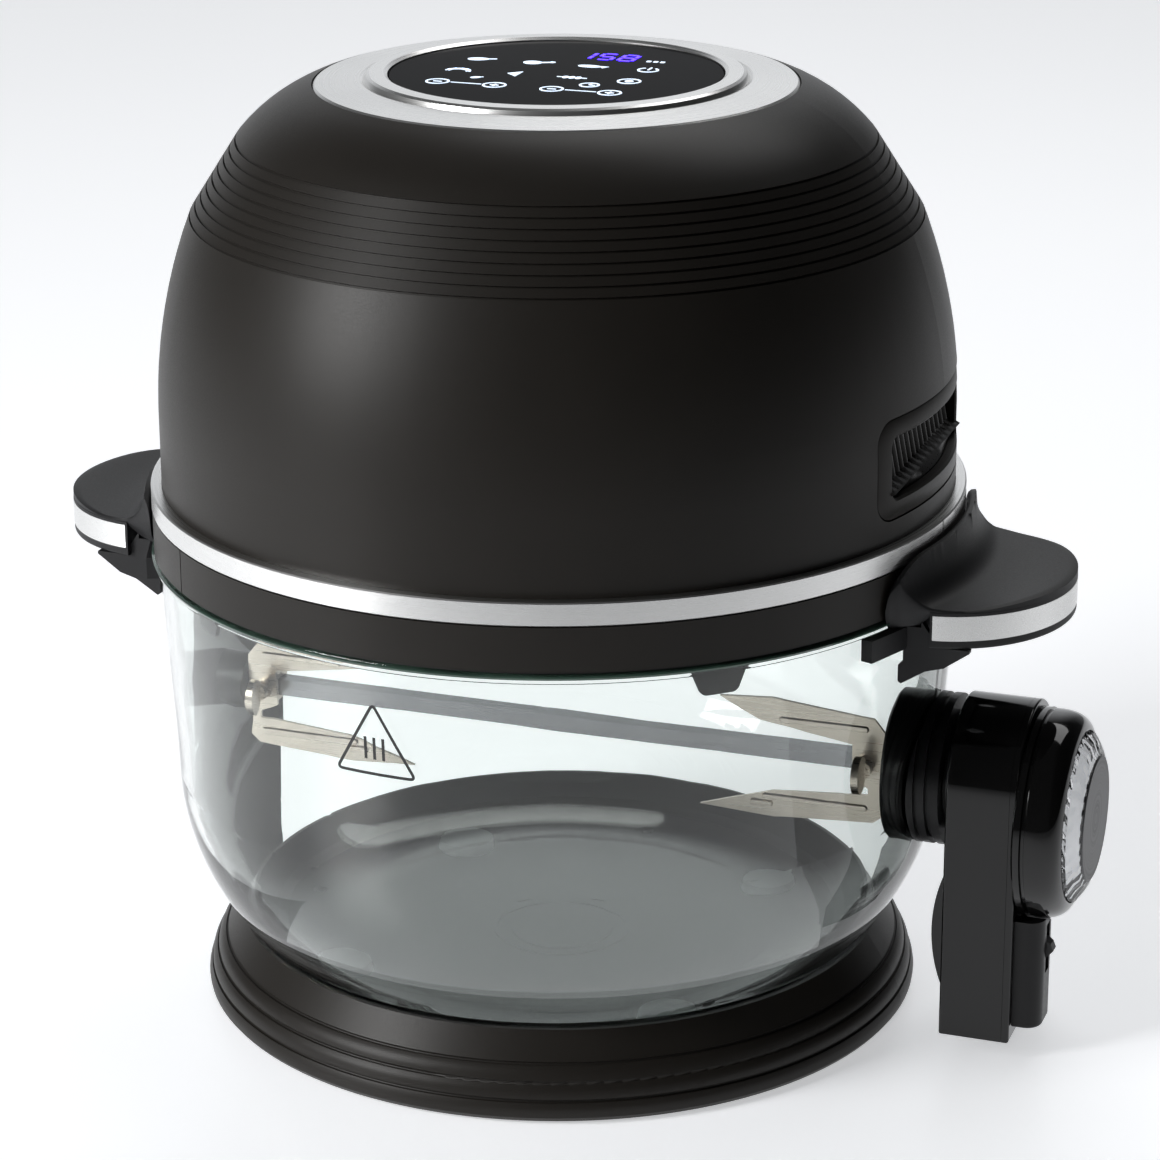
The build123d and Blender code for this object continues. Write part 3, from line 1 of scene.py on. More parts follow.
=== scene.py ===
"""Looks and studio for a glass-bowl rotisserie oven.

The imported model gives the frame: every place below comes from a node's box or from a few
sizes named in the class that makes the piece. All lengths are in metres.
"""

import json
import logging
import math
from dataclasses import dataclass
from enum import Enum
from typing import Callable, Sequence

import bmesh
import bpy
from mathutils import Matrix, Vector


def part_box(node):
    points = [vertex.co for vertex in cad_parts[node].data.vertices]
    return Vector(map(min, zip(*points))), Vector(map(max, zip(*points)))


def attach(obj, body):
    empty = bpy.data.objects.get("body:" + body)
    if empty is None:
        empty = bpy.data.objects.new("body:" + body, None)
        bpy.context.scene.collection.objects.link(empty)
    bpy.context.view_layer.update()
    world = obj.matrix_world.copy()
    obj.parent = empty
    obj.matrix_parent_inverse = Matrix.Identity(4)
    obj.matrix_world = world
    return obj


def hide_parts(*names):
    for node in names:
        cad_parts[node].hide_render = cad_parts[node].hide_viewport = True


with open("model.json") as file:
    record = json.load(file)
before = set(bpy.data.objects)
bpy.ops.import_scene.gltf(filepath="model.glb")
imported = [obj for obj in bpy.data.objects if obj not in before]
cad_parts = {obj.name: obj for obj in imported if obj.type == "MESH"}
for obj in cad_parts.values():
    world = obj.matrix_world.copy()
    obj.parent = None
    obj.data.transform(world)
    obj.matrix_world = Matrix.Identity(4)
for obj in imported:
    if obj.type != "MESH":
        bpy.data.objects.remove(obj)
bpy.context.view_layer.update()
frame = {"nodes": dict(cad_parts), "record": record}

logging.basicConfig(level=logging.INFO, format="%(message)s")
log = logging.getLogger("oven")

Point = tuple[float, float]
Place = tuple[float, float, float]
Colour = tuple[float, float, float]
Outline = tuple[Point, ...]
Piece = bpy.types.Object
Tree = bpy.types.NodeTree
Socket = bpy.types.NodeSocket
FULL_TURN = 2 * math.pi


# ---- finishes -----------------------------------------------------------------------------
class Grain(Enum):
    """The ways in which a finish's fine marks run."""

    EVEN = "even"        # the same in every direction, such as a moulded skin
    TURNED = "turned"    # circles round the object's upright axis
    ALONG_X = "along_x"  # drawn lines along the spit
    FACING_X = "facing_x"  # circles round an axis that runs along X


@dataclass(frozen=True)
class Finish:
    """An opaque surface: its colour, gloss and fine marks."""

    name: str
    colour: Colour
    roughness: float
    metallic: float = 0.0
    grain: Grain = Grain.EVEN
    grain_size: float = 0.0006
    grain_depth: float = 0.00002
    grain_bump: float = 0.2
    drift: float = 0.12
    drift_size: float = 0.03
    roughness_drift: float = 0.05
    coat: float = 0.0
    coat_roughness: float = 0.03
    specular: float = 0.5
    refraction: float = 1.5
    centre: Place = (0.0, 0.0, 0.0)

    def build(self) -> bpy.types.Material:
        """Make the node material.

        Returns:
            The material, ready to be put on a piece.
        """
        material = bpy.data.materials.new(self.name)
        material.use_nodes = True
        tree = material.node_tree
        shader = tree.nodes["Principled BSDF"]
        shader.inputs["Metallic"].default_value = self.metallic
        shader.inputs["Specular IOR Level"].default_value = self.specular
        shader.inputs["IOR"].default_value = self.refraction
        shader.inputs["Coat Weight"].default_value = self.coat
        shader.inputs["Coat Roughness"].default_value = self.coat_roughness
        place = self._placed(tree)
        drift = _noise(tree, place, 1.0 / self.drift_size, 4.0)
        self._ramp_colour(tree, drift, shader.inputs["Base Color"])
        lines = self._lines(tree, place)
        _map_range(tree, lines, self.roughness - self.roughness_drift,
                   self.roughness + self.roughness_drift, shader.inputs["Roughness"])
        bump = tree.nodes.new("ShaderNodeBump")
        bump.inputs["Strength"].default_value = self.grain_bump
        bump.inputs["Distance"].default_value = self.grain_depth
        tree.links.new(lines, bump.inputs["Height"])
        tree.links.new(bump.outputs["Normal"], shader.inputs["Normal"])
        return material

    def _placed(self, tree: Tree) -> Socket:
        """Make object coordinates about the finish's own centre.

        Args:
            tree: the material's nodes.

        Returns:
            The coordinates.
        """
        where = tree.nodes.new("ShaderNodeTexCoord")
        shift = tree.nodes.new("ShaderNodeMapping")
        shift.inputs["Location"].default_value = [-c for c in self.centre]
        tree.links.new(where.outputs["Object"], shift.inputs["Vector"])
        return shift.outputs["Vector"]

    def _ramp_colour(self, tree: Tree, drift: Socket,
                     target: Socket) -> None:
        """Let the colour drift a little about its middle value.

        Args:
            tree: the material's nodes.
            drift: the pattern that the colour follows.
            target: the socket that takes the colour.
        """
        ramp = tree.nodes.new("ShaderNodeValToRGB")
        for element, share in zip(ramp.color_ramp.elements, (1 - self.drift, 1 + self.drift)):
            element.color = (*[min(1.0, c * share) for c in self.colour], 1)
        ramp.color_ramp.elements[0].position = 0.3
        ramp.color_ramp.elements[1].position = 0.7
        tree.links.new(drift, ramp.inputs["Fac"])
        tree.links.new(ramp.outputs["Color"], target)

    def _lines(self, tree: Tree, place: Socket) -> Socket:
        """Make fine marks that run the way the grain says.

        Args:
            tree: the material's nodes.
            place: coordinates about the finish's centre.

        Returns:
            The marks' value.
        """
        scale = 1.0 / self.grain_size
        if self.grain is Grain.EVEN:
            return _noise(tree, place, scale, 3.0)
        parts = tree.nodes.new("ShaderNodeSeparateXYZ")
        tree.links.new(place, parts.inputs["Vector"])
        lines = tree.nodes.new("ShaderNodeCombineXYZ")
        if self.grain is Grain.ALONG_X:
            slow = _maths(tree, "MULTIPLY", parts.outputs["X"], 0.01)
            tree.links.new(slow, lines.inputs["X"])
            tree.links.new(parts.outputs["Y"], lines.inputs["Y"])
            tree.links.new(parts.outputs["Z"], lines.inputs["Z"])
        else:
            circle_axes, axis = (("Y", "Z"), "X") if self.grain is Grain.FACING_X else (("X", "Y"), "Z")
            squares = [_maths(tree, "POWER", _maths(tree, "ABSOLUTE", parts.outputs[name]), 2.0)
                       for name in circle_axes]
            tree.links.new(_maths(tree, "SQRT", _maths(tree, "ADD", *squares)), lines.inputs["X"])
            tree.links.new(parts.outputs[axis], lines.inputs["Y"])
        return _noise(tree, lines.outputs["Vector"], scale, 2.0)


@dataclass(frozen=True)
class ClearFinish:
    """A see-through surface, such as glass, crystal or clear rubber."""

    name: str
    colour: Colour
    roughness: float = 0.0
    refraction: float = 1.47
    wave_size: float = 0.05
    wave_depth: float = 0.00002
    smudge: float = 0.015

    def build(self) -> bpy.types.Material:
        """Make the node material with a faint wave and smudges.

        Returns:
            The material, ready to be put on a piece.
        """
        material = bpy.data.materials.new(self.name)
        material.use_nodes = True
        tree = material.node_tree
        shader = tree.nodes["Principled BSDF"]
        shader.inputs["Base Color"].default_value = (*self.colour, 1)
        shader.inputs["Transmission Weight"].default_value = 1.0
        shader.inputs["IOR"].default_value = self.refraction
        where = tree.nodes.new("ShaderNodeTexCoord").outputs["Object"]
        marks = _noise(tree, where, 40.0, 4.0)
        _map_range(tree, marks, self.roughness, self.roughness + self.smudge, shader.inputs["Roughness"])
        bump = tree.nodes.new("ShaderNodeBump")
        bump.inputs["Strength"].default_value = 0.1
        bump.inputs["Distance"].default_value = self.wave_depth
        tree.links.new(_noise(tree, where, 1.0 / self.wave_size, 1.0), bump.inputs["Height"])
        tree.links.new(bump.outputs["Normal"], shader.inputs["Normal"])
        return material


@dataclass(frozen=True)
class LitFinish:
    """A glowing surface, a backlit mark or a foil whose glow is a painted reflection: its colour and how
    brightly it glows.
    """

    name: str
    colour: Colour
    strength: float

    def build(self) -> bpy.types.Material:
        """Make the node material, a little uneven as a printed light mask is.

        Returns:
            The material, ready to be put on a piece.
        """
        material = bpy.data.materials.new(self.name)
        material.use_nodes = True
        tree = material.node_tree
        shader = tree.nodes["Principled BSDF"]
        shader.inputs["Roughness"].default_value = 0.4
        shader.inputs["Emission Color"].default_value = (*self.colour, 1)
        where = tree.nodes.new("ShaderNodeTexCoord").outputs["Object"]
        ramp = tree.nodes.new("ShaderNodeValToRGB")
        ramp.color_ramp.elements[0].color = (*[c * 0.8 for c in self.colour], 1)
        ramp.color_ramp.elements[1].color = (*self.colour, 1)
        tree.links.new(_noise(tree, where, 500.0, 1.0), ramp.inputs["Fac"])
        tree.links.new(ramp.outputs["Color"], shader.inputs["Base Color"])
        shader.inputs["Emission Strength"].default_value = self.strength
        return material


def _noise(tree: Tree, place: Socket, scale: float,
           detail: float) -> Socket:
    """A noise pattern.

    Args:
        tree: the material's nodes.
        place: the coordinates that the pattern follows.
        scale: marks per metre.
        detail: how many finer layers it has.

    Returns:
        The pattern's value.
    """
    noise = tree.nodes.new("ShaderNodeTexNoise")
    noise.inputs["Scale"].default_value = scale
    noise.inputs["Detail"].default_value = detail
    tree.links.new(place, noise.inputs["Vector"])
    return noise.outputs["Fac"]


def _maths(tree: Tree, operation: str, first: Socket,
           second: Socket | float | None = None) -> Socket:
    """One Math node.

    Args:
        tree: the material's nodes.
        operation: the node's operation.
        first: its first input.
        second: its second input, a socket or a plain number.

    Returns:
        The node's value.
    """
    node = tree.nodes.new("ShaderNodeMath")
    node.operation = operation
    tree.links.new(first, node.inputs[0])
    if isinstance(second, float):
        node.inputs[1].default_value = second
    elif second is not None:
        tree.links.new(second, node.inputs[1])
    return node.outputs["Value"]


def _map_range(tree: Tree, value: Socket, low: float, high: float,
               target: Socket) -> None:
    """Spread a pattern between two values and give it to a socket.

    Args:
        tree: the material's nodes.
        value: the pattern.
        low: the lowest value given.
        high: the highest value given.
        target: the socket that takes it.
    """
    node = tree.nodes.new("ShaderNodeMapRange")
    node.inputs["From Min"].default_value = 0.3
    node.inputs["From Max"].default_value = 0.7
    node.inputs["To Min"].default_value = max(0.0, low)
    node.inputs["To Max"].default_value = min(1.0, high)
    tree.links.new(value, node.inputs["Value"])
    tree.links.new(node.outputs["Result"], target)


PUCK_CENTRE: Place = (0.0, 0.0, 0.089)
AnyFinish = Finish | ClearFinish | LitFinish
FINISHES: dict[str, AnyFinish] = {
    "matte_black_shell": Finish("Matte black shell", (0.0150, 0.0130, 0.0108), 0.42, grain_size=0.0005,
                                grain_depth=0.00003, grain_bump=0.35, drift=0.06, roughness_drift=0.04,
                                specular=0.25),
    "black_grip": Finish("Black grip", (0.0170, 0.0170, 0.0180), 0.50, grain_size=0.0005,
                         grain_depth=0.00003, grain_bump=0.3, roughness_drift=0.05, specular=0.3),
    "satin_silver": Finish("Satin silver", (0.80, 0.80, 0.79), 0.30, metallic=1.0, grain=Grain.TURNED,
                           grain_size=0.0004, grain_depth=0.000008, grain_bump=0.2, drift=0.03,
                           roughness_drift=0.05),
    "clear_glass": ClearFinish("Clear glass", (0.950, 0.980, 0.965)),
    "panel_glass": Finish("Panel glass", (0.0030, 0.0030, 0.0038), 0.12, specular=0.04, refraction=1.1,
                          grain_size=0.01, grain_depth=0.000002, grain_bump=0.05, roughness_drift=0.02),
    "gloss_black": Finish("Gloss black", (0.0035, 0.0034, 0.0034), 0.10, coat=0.35, coat_roughness=0.03,
                          specular=0.3, grain_size=0.012, grain_depth=0.00002, grain_bump=0.06,
                          roughness_drift=0.03),
    "cap_grey": Finish("Cap grey", (0.060, 0.060, 0.063), 0.42, grain=Grain.FACING_X, centre=PUCK_CENTRE,
                       grain_size=0.0006, grain_depth=0.00001, grain_bump=0.25, roughness_drift=0.06),
    "crystal": ClearFinish("Crystal", (0.97, 0.97, 0.98), 0.02, 1.55),
    "satin_black": Finish("Satin black", (0.0070, 0.0070, 0.0075), 0.34, grain_size=0.0012,
                          grain_depth=0.000006, grain_bump=0.1, roughness_drift=0.05, specular=0.25),
    "switch_grip": Finish("Switch grip", (0.022, 0.022, 0.024), 0.48, grain_size=0.0004,
                          grain_depth=0.00004, grain_bump=0.35),
    "fork_steel": Finish("Fork steel", (0.58, 0.52, 0.45), 0.30, metallic=1.0, grain=Grain.ALONG_X,
                         grain_size=0.0006, grain_depth=0.000006, grain_bump=0.12, drift=0.06,
                         drift_size=0.012, roughness_drift=0.05),
    "rod_steel": Finish("Rod steel", (0.26, 0.26, 0.27), 0.20, metallic=1.0, grain=Grain.ALONG_X,
                        grain_size=0.0004, grain_depth=0.00001, grain_bump=0.2, drift=0.08,
                        roughness_drift=0.08),
    "shield_steel": Finish("Shield steel", (0.16, 0.16, 0.165), 0.36, metallic=0.9, grain=Grain.TURNED,
                           grain_size=0.0006, grain_bump=0.2, drift=0.06, roughness_drift=0.08),
    "fan_aluminium": Finish("Fan aluminium", (0.70, 0.71, 0.72), 0.34, metallic=1.0, grain_size=0.0007,
                            roughness_drift=0.06),
    "heater_sheath": Finish("Heater sheath", (0.12, 0.11, 0.10), 0.46, metallic=0.7, grain_size=0.0007,
                            drift=0.25, drift_size=0.01),
    "motor_steel": Finish("Motor steel", (0.50, 0.51, 0.52), 0.36, metallic=1.0, grain_size=0.0008),
    "rubber_black": Finish("Rubber black", (0.012, 0.012, 0.012), 0.62, grain_size=0.0007,
                           grain_depth=0.00004, grain_bump=0.3),
    "clear_pad": Finish("Frosted pad", (0.50, 0.54, 0.54), 0.45, grain_size=0.0006, grain_depth=0.00003,
                        drift=0.08),
    "screw_steel": Finish("Screw steel", (0.66, 0.66, 0.67), 0.22, metallic=1.0, grain_size=0.0006),
    "inner_plastic": Finish("Inner plastic", (0.0045, 0.0050, 0.0055), 0.38, grain_size=0.0020,
                            grain_depth=0.000002, grain_bump=0.04, specular=0.22),
    "board_green": Finish("Board green", (0.02, 0.12, 0.05), 0.35, grain_size=0.0012),
    "gear_plastic": Finish("Gear plastic", (0.74, 0.72, 0.66), 0.38, grain_size=0.0008),
    "cell_wrap": Finish("Cell wrap", (0.06, 0.11, 0.24), 0.28, grain_size=0.002),
    "contact_steel": Finish("Contact steel", (0.70, 0.70, 0.69), 0.25, metallic=1.0, grain_size=0.0005),
}
LIGHT_MARK = LitFinish("Panel mark", (0.72, 0.84, 1.0), 1.1)
DIGIT_LIGHT = LitFinish("Digit light", (0.06, 0.02, 0.95), 3.0)
# The foil's glow is a painted reflection: it shines by its own light in place of mirroring the lamps.
FOIL_PAINTED_REFLECTION = LitFinish("Foil with painted reflection", (0.84, 0.86, 0.88), 0.45)
RIM_GREEN = Finish("Rim green", (0.045, 0.085, 0.065), 0.12, coat=0.4, grain_size=0.004, drift=0.25,
                   drift_size=0.02)
VENT_BLACK = Finish("Vent black", (0.0075, 0.0062, 0.0048), 0.30, grain_size=0.001, grain_depth=0.000006,
                    grain_bump=0.1, specular=0.15)
PRINT_INK = Finish("Print ink", (0.020, 0.020, 0.021), 0.5, grain_size=0.0005)


class Paints:
    """Builds each finish once and hands it out."""

    def __init__(self) -> None:
        """Start with nothing built."""
        self._built: dict[str, bpy.types.Material] = {}

    def get(self, finish: AnyFinish) -> bpy.types.Material:
        """Give the material of a finish, built on its first use.

        Args:
            finish: the finish that is wanted.

        Returns:
            Its material.
        """
        if finish.name not in self._built:
            self._built[finish.name] = finish.build()
        return self._built[finish.name]

    def dress(self, piece: Piece, finish: AnyFinish) -> None:
        """Put one finish all over a piece."""
        piece.data.materials.clear()
        piece.data.materials.append(self.get(finish))


PAINTS = Paints()


# ---- mesh helpers -------------------------------------------------------------------------
def deselect() -> None:
    """Leave nothing selected and nothing active in edit mode."""
    if bpy.context.object and bpy.context.object.mode != "OBJECT":
        bpy.ops.object.mode_set(mode="OBJECT")
    bpy.ops.object.select_all(action="DESELECT")


def settle(piece: Piece, name: str, angle_deg: float = 35.0) -> Piece:
    """Name a new piece, bake its place into its mesh and shade it.

    Args:
        piece: the object just modelled.
        name: its name in the export.
        angle_deg: edges sharper than this stay crisp.

    Returns:
        The same object.
    """
    deselect()
    piece.name = name
    piece.data.name = name
    piece.select_set(True)
    bpy.context.view_layer.objects.active = piece
    bpy.ops.object.transform_apply(location=True, rotation=True, scale=True)
    bpy.ops.object.shade_smooth_by_angle(angle=math.radians(angle_deg))
    deselect()
    return piece


def finish_piece(piece: Piece, body: str, slot: str,
                 finish: AnyFinish | None = None,
                 replaces: Sequence[str] = ()) -> None:
    """Dress a piece, hang it on its body and hide the CAD nodes that it stands for.

    Args:
        piece: the finished mesh object.
        body: the CAD body that it moves with.
        slot: the record's material slot.
        finish: its finish, or the slot's own when it is None.
        replaces: the CAD nodes that it stands for.
    """
    PAINTS.dress(piece, finish or FINISHES[slot])
    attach(piece, body)
    if replaces:
        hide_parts(*replaces)
    log.info("%-22s rides on %-14s %6d faces", piece.name, body, len(piece.data.polygons))


def joined(pieces: Sequence[Piece], name: str) -> Piece:
    """Join several meshes into one piece.

    Args:
        pieces: the meshes, the first of which is kept.
        name: the joined piece's name.

    Returns:
        The joined piece.
    """
    deselect()
    for piece in pieces:
        piece.select_set(True)
    bpy.context.view_layer.objects.active = pieces[0]
    if len(pieces) > 1:
        bpy.ops.object.join()
    return settle(bpy.context.view_layer.objects.active, name)


def bezier(points: Sequence[Point], count: int) -> list[Point]:
    """Make points along a Bezier curve, both ends included.

    Args:
        points: the curve's control points.
        count: how many spans it is cut into.

    Returns:
        The points, in order.
    """
    result = []
    for i in range(count + 1):
        t = i / count
        row = [Vector(p) for p in points]
        while len(row) > 1:
            row = [a.lerp(b, t) for a, b in zip(row, row[1:])]
        result.append((row[0].x, row[0].y))
    return result


# ---- studio -------------------------------------------------------------------------------
@dataclass
class Studio:
    """Camera, floor, surround, dark cards and soft lamps."""

    camera_from_ring: Place = (0.4445, -1.2213, 0.4083)
    target_from_ring: Place = (0.0072, 0.0026, -0.0440)
    roll_deg: float = -0.2375
    lens_mm: float = 114.35
    floor_half: float = 6.0
    floor_glow: float = 0.50
    away: Place = (-0.342, 0.940, 0.0)
    right: Place = (0.940, 0.342, 0.0)
    right_card: Outline = ((0.108, -0.05), (0.90, -0.60), (0.90, 1.20), (0.235, 0.45))
    left_card: Outline = ((-0.180, -0.10), (-0.108, -0.02), (-0.150, 0.42), (-0.225, 0.42))
    card_lift: float = 0.001

    def build(self) -> None:
        """Set the whole studio up round the object."""
        ring_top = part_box("trim_ring")[1].z
        bpy.context.scene.view_settings.view_transform = "Standard"
        self._camera(ring_top)
        self._floor()
        self._world()
        self._cards()
        self._lamps()

    def _camera(self, ring_top: float) -> None:
        """Place the camera in front, above and a little to the right."""
        data = bpy.data.cameras.new("Camera")
        data.lens = self.lens_mm
        data.sensor_width = 36.0
        data.dof.use_dof = False
        camera = bpy.data.objects.new("Camera", data)
        bpy.context.scene.collection.objects.link(camera)
        lift = Vector((0, 0, ring_top))
        eye = Vector(self.camera_from_ring) + lift
        look = Vector(self.target_from_ring) + lift - eye
        turn = look.to_track_quat("-Z", "Y").to_matrix().to_4x4()
        roll = Matrix.Rotation(math.radians(self.roll_deg), 4, "Z")
        camera.matrix_world = Matrix.Translation(eye) @ turn @ roll
        bpy.context.scene.camera = camera

    def _floor(self) -> None:
        """A wide pale floor, with painted shade that makes its colour and glow dimmer in front of the oven.
        """
        deselect()
        bpy.ops.mesh.primitive_plane_add(size=2 * self.floor_half, location=(0, 0, 0))
        floor = bpy.context.object
        floor.name = "floor"
        material = bpy.data.materials.new("Pale floor with painted front shade")
        material.use_nodes = True
        tree = material.node_tree
        shader = tree.nodes["Principled BSDF"]
        shader.inputs["Roughness"].default_value = 0.35
        where = tree.nodes.new("ShaderNodeTexCoord").outputs["Object"]
        ramp = tree.nodes.new("ShaderNodeValToRGB")
        ramp.color_ramp.elements[0].color = (0.86, 0.87, 0.89, 1)
        ramp.color_ramp.elements[1].color = (0.90, 0.91, 0.93, 1)
        tree.links.new(_noise(tree, where, 3.0, 2.0), ramp.inputs["Fac"])
        # Painted shade: this level dims the floor's colour and glow to about a third in front of the oven.
        lit = self._level(tree, where, self.away, ((0.0, 0.35), (0.12, 0.5), (0.42, 1.0), (1.0, 1.0)))
        shade = tree.nodes.new("ShaderNodeVectorMath")
        shade.operation = "MULTIPLY"
        tree.links.new(ramp.outputs["Color"], shade.inputs[0])
        tree.links.new(lit, shade.inputs[1])
        tree.links.new(shade.outputs["Vector"], shader.inputs["Base Color"])
        shader.inputs["Emission Color"].default_value = (0.97, 0.98, 1.0, 1)
        tree.links.new(_maths(tree, "MULTIPLY", lit, self.floor_glow), shader.inputs["Emission Strength"])
        floor.data.materials.append(material)

    def _world(self) -> None:
        """A surround that is bright low down behind the oven, and dark overhead and in front."""
        world = bpy.data.worlds.new("Surround")
        bpy.context.scene.world = world
        world.use_nodes = True
        tree = world.node_tree
        where = tree.nodes.new("ShaderNodeTexCoord").outputs["Generated"]
        away = self._level(tree, where, self.away, ((0.0, 0.05), (0.5, 0.05), (0.86, 0.09), (0.95, 0.82)))
        right = self._level(tree, where, self.right, ((0.0, 0.9), (0.60, 1.0), (0.72, 0.35), (1.0, 0.25)))
        background = tree.nodes["Background"]
        tree.links.new(_maths(tree, "MULTIPLY", away, right), background.inputs["Strength"])
        background.inputs["Color"].default_value = (0.95, 0.97, 1.0, 1)

    def _level(self, tree: Tree, place: Socket, heading: Place,
               stops: Sequence[Point]) -> Socket:
        """Brightness that follows how far a place lies along a heading.

        Args:
            tree: the nodes.
            place: the place.
            heading: the heading, a unit vector.
            stops: share of the way from one metre before to one metre past, and brightness, in pairs.

        Returns:
            The brightness.
        """
        dot = tree.nodes.new("ShaderNodeVectorMath")
        dot.operation = "DOT_PRODUCT"
        dot.inputs[1].default_value = heading
        tree.links.new(place, dot.inputs[0])
        spread = tree.nodes.new("ShaderNodeMapRange")
        spread.inputs["From Min"].default_value = -1.0
        spread.inputs["From Max"].default_value = 1.0
        tree.links.new(dot.outputs["Value"], spread.inputs["Value"])
        ramp = tree.nodes.new("ShaderNodeValToRGB")
        while len(ramp.color_ramp.elements) < len(stops):
            ramp.color_ramp.elements.new(0.5)
        for element, (share, level) in zip(ramp.color_ramp.elements, stops):
            element.position = share
            element.color = (level, level, level, 1)
        tree.links.new(spread.outputs["Result"], ramp.inputs["Fac"])
        return ramp.outputs["Color"]

    def _cards(self) -> None:
        """Two dark cards on the floor that show only through the glass and draw its edges."""
        material = bpy.data.materials.new("Black card")
        material.use_nodes = True
        tree = material.node_tree
        shader = tree.nodes["Principled BSDF"]
        shader.inputs["Roughness"].default_value = 1.0
        shader.inputs["Specular IOR Level"].default_value = 0.0
        where = tree.nodes.new("ShaderNodeTexCoord").outputs["Object"]
        _map_range(tree, _noise(tree, where, 8.0, 2.0), 0.02, 0.03, shader.inputs["Base Color"])
        for name, outline in (("right_card", self.right_card), ("left_card", self.left_card)):
            deselect()
            bpy.ops.mesh.primitive_plane_add(size=1.0, location=(0, 0, 0))
            card = bpy.context.object
            card.name = name
            near_left, near_right, far_right, far_left = (
                Vector(self.right) * side + Vector(self.away) * depth + Vector((0, 0, self.card_lift))
                for side, depth in outline)
            for vertex, place in zip(card.data.vertices, (near_left, near_right, far_left, far_right)):
                vertex.co = place
            card.data.materials.append(material)
            card.visible_camera = card.visible_diffuse = False
            card.visible_glossy = card.visible_shadow = False

    def _lamps(self) -> None:
        """Two large soft boxes: left front, and high behind."""
        for name, place, aim, size, power in (
                ("Left box", (-1.25, -1.35, 0.95), (0, 0, 0.2), (0.7, 1.0), 36.0),
                ("Rear box", (0.1, 1.0, 1.7), (0, 0, 0.1), (1.5, 0.9), 10.0)):
            data = bpy.data.lights.new(name, "AREA")
            data.shape = "RECTANGLE"
            data.size, data.size_y = size
            data.energy = power
            lamp = bpy.data.objects.new(name, data)
            bpy.context.scene.collection.objects.link(lamp)
            lamp.location = place
            lamp.rotation_euler = (Vector(aim) - Vector(place)).to_track_quat("-Z", "Y").to_euler()


# ---- lofted shapes ------------------------------------------------------------------------
def lofted(name: str, loops: Sequence[Sequence[Place]], cap_ends: bool = True,
           angle_deg: float = 35.0) -> Piece:
    """Skin a row of closed loops that have the same number of points.

    Args:
        name: the piece's name.
        loops: the closed loops, in order.
        cap_ends: whether the first and last loops are closed with a face.
        angle_deg: edges sharper than this stay crisp.

    Returns:
        The closed object, with its faces pointing outwards.
    """
    mesh = bpy.data.meshes.new(name)
    shape = bmesh.new()
    rows = [[shape.verts.new(p) for p in loop] for loop in loops]
    count = len(loops[0])
    for low, high in zip(rows, rows[1:]):
        for i in range(count):
            shape.faces.new((low[i], low[(i + 1) % count], high[(i + 1) % count], high[i]))
    if cap_ends:
        shape.faces.new(rows[0])
        shape.faces.new(rows[-1])
    bmesh.ops.remove_doubles(shape, verts=shape.verts, dist=2e-6)
    bmesh.ops.dissolve_degenerate(shape, edges=shape.edges, dist=2e-6)
    bmesh.ops.recalc_face_normals(shape, faces=shape.faces)
    shape.to_mesh(mesh)
    shape.free()
    piece = bpy.data.objects.new(name, mesh)
    bpy.context.scene.collection.objects.link(piece)
    return settle(piece, name, angle_deg)


def mirrored(piece: Piece, name: str) -> Piece:
    """Copy a piece to the other side of the YZ plane, with its faces turned outwards.

    Args:
        piece: the piece to copy.
        name: the copy's name.

    Returns:
        The copy.
    """
    copy = piece.copy()
    copy.data = piece.data.copy()
    bpy.context.scene.collection.objects.link(copy)
    copy.data.transform(Matrix.Scale(-1, 4, (1, 0, 0)))
    copy.data.flip_normals()
    return settle(copy, name)


def smooth_step(value: float, low: float, high: float) -> float:
    """Nought below low, one above high, and a smooth rise between them."""
    share = min(1.0, max(0.0, (value - low) / (high - low)))
    return share * share * (3 - 2 * share)


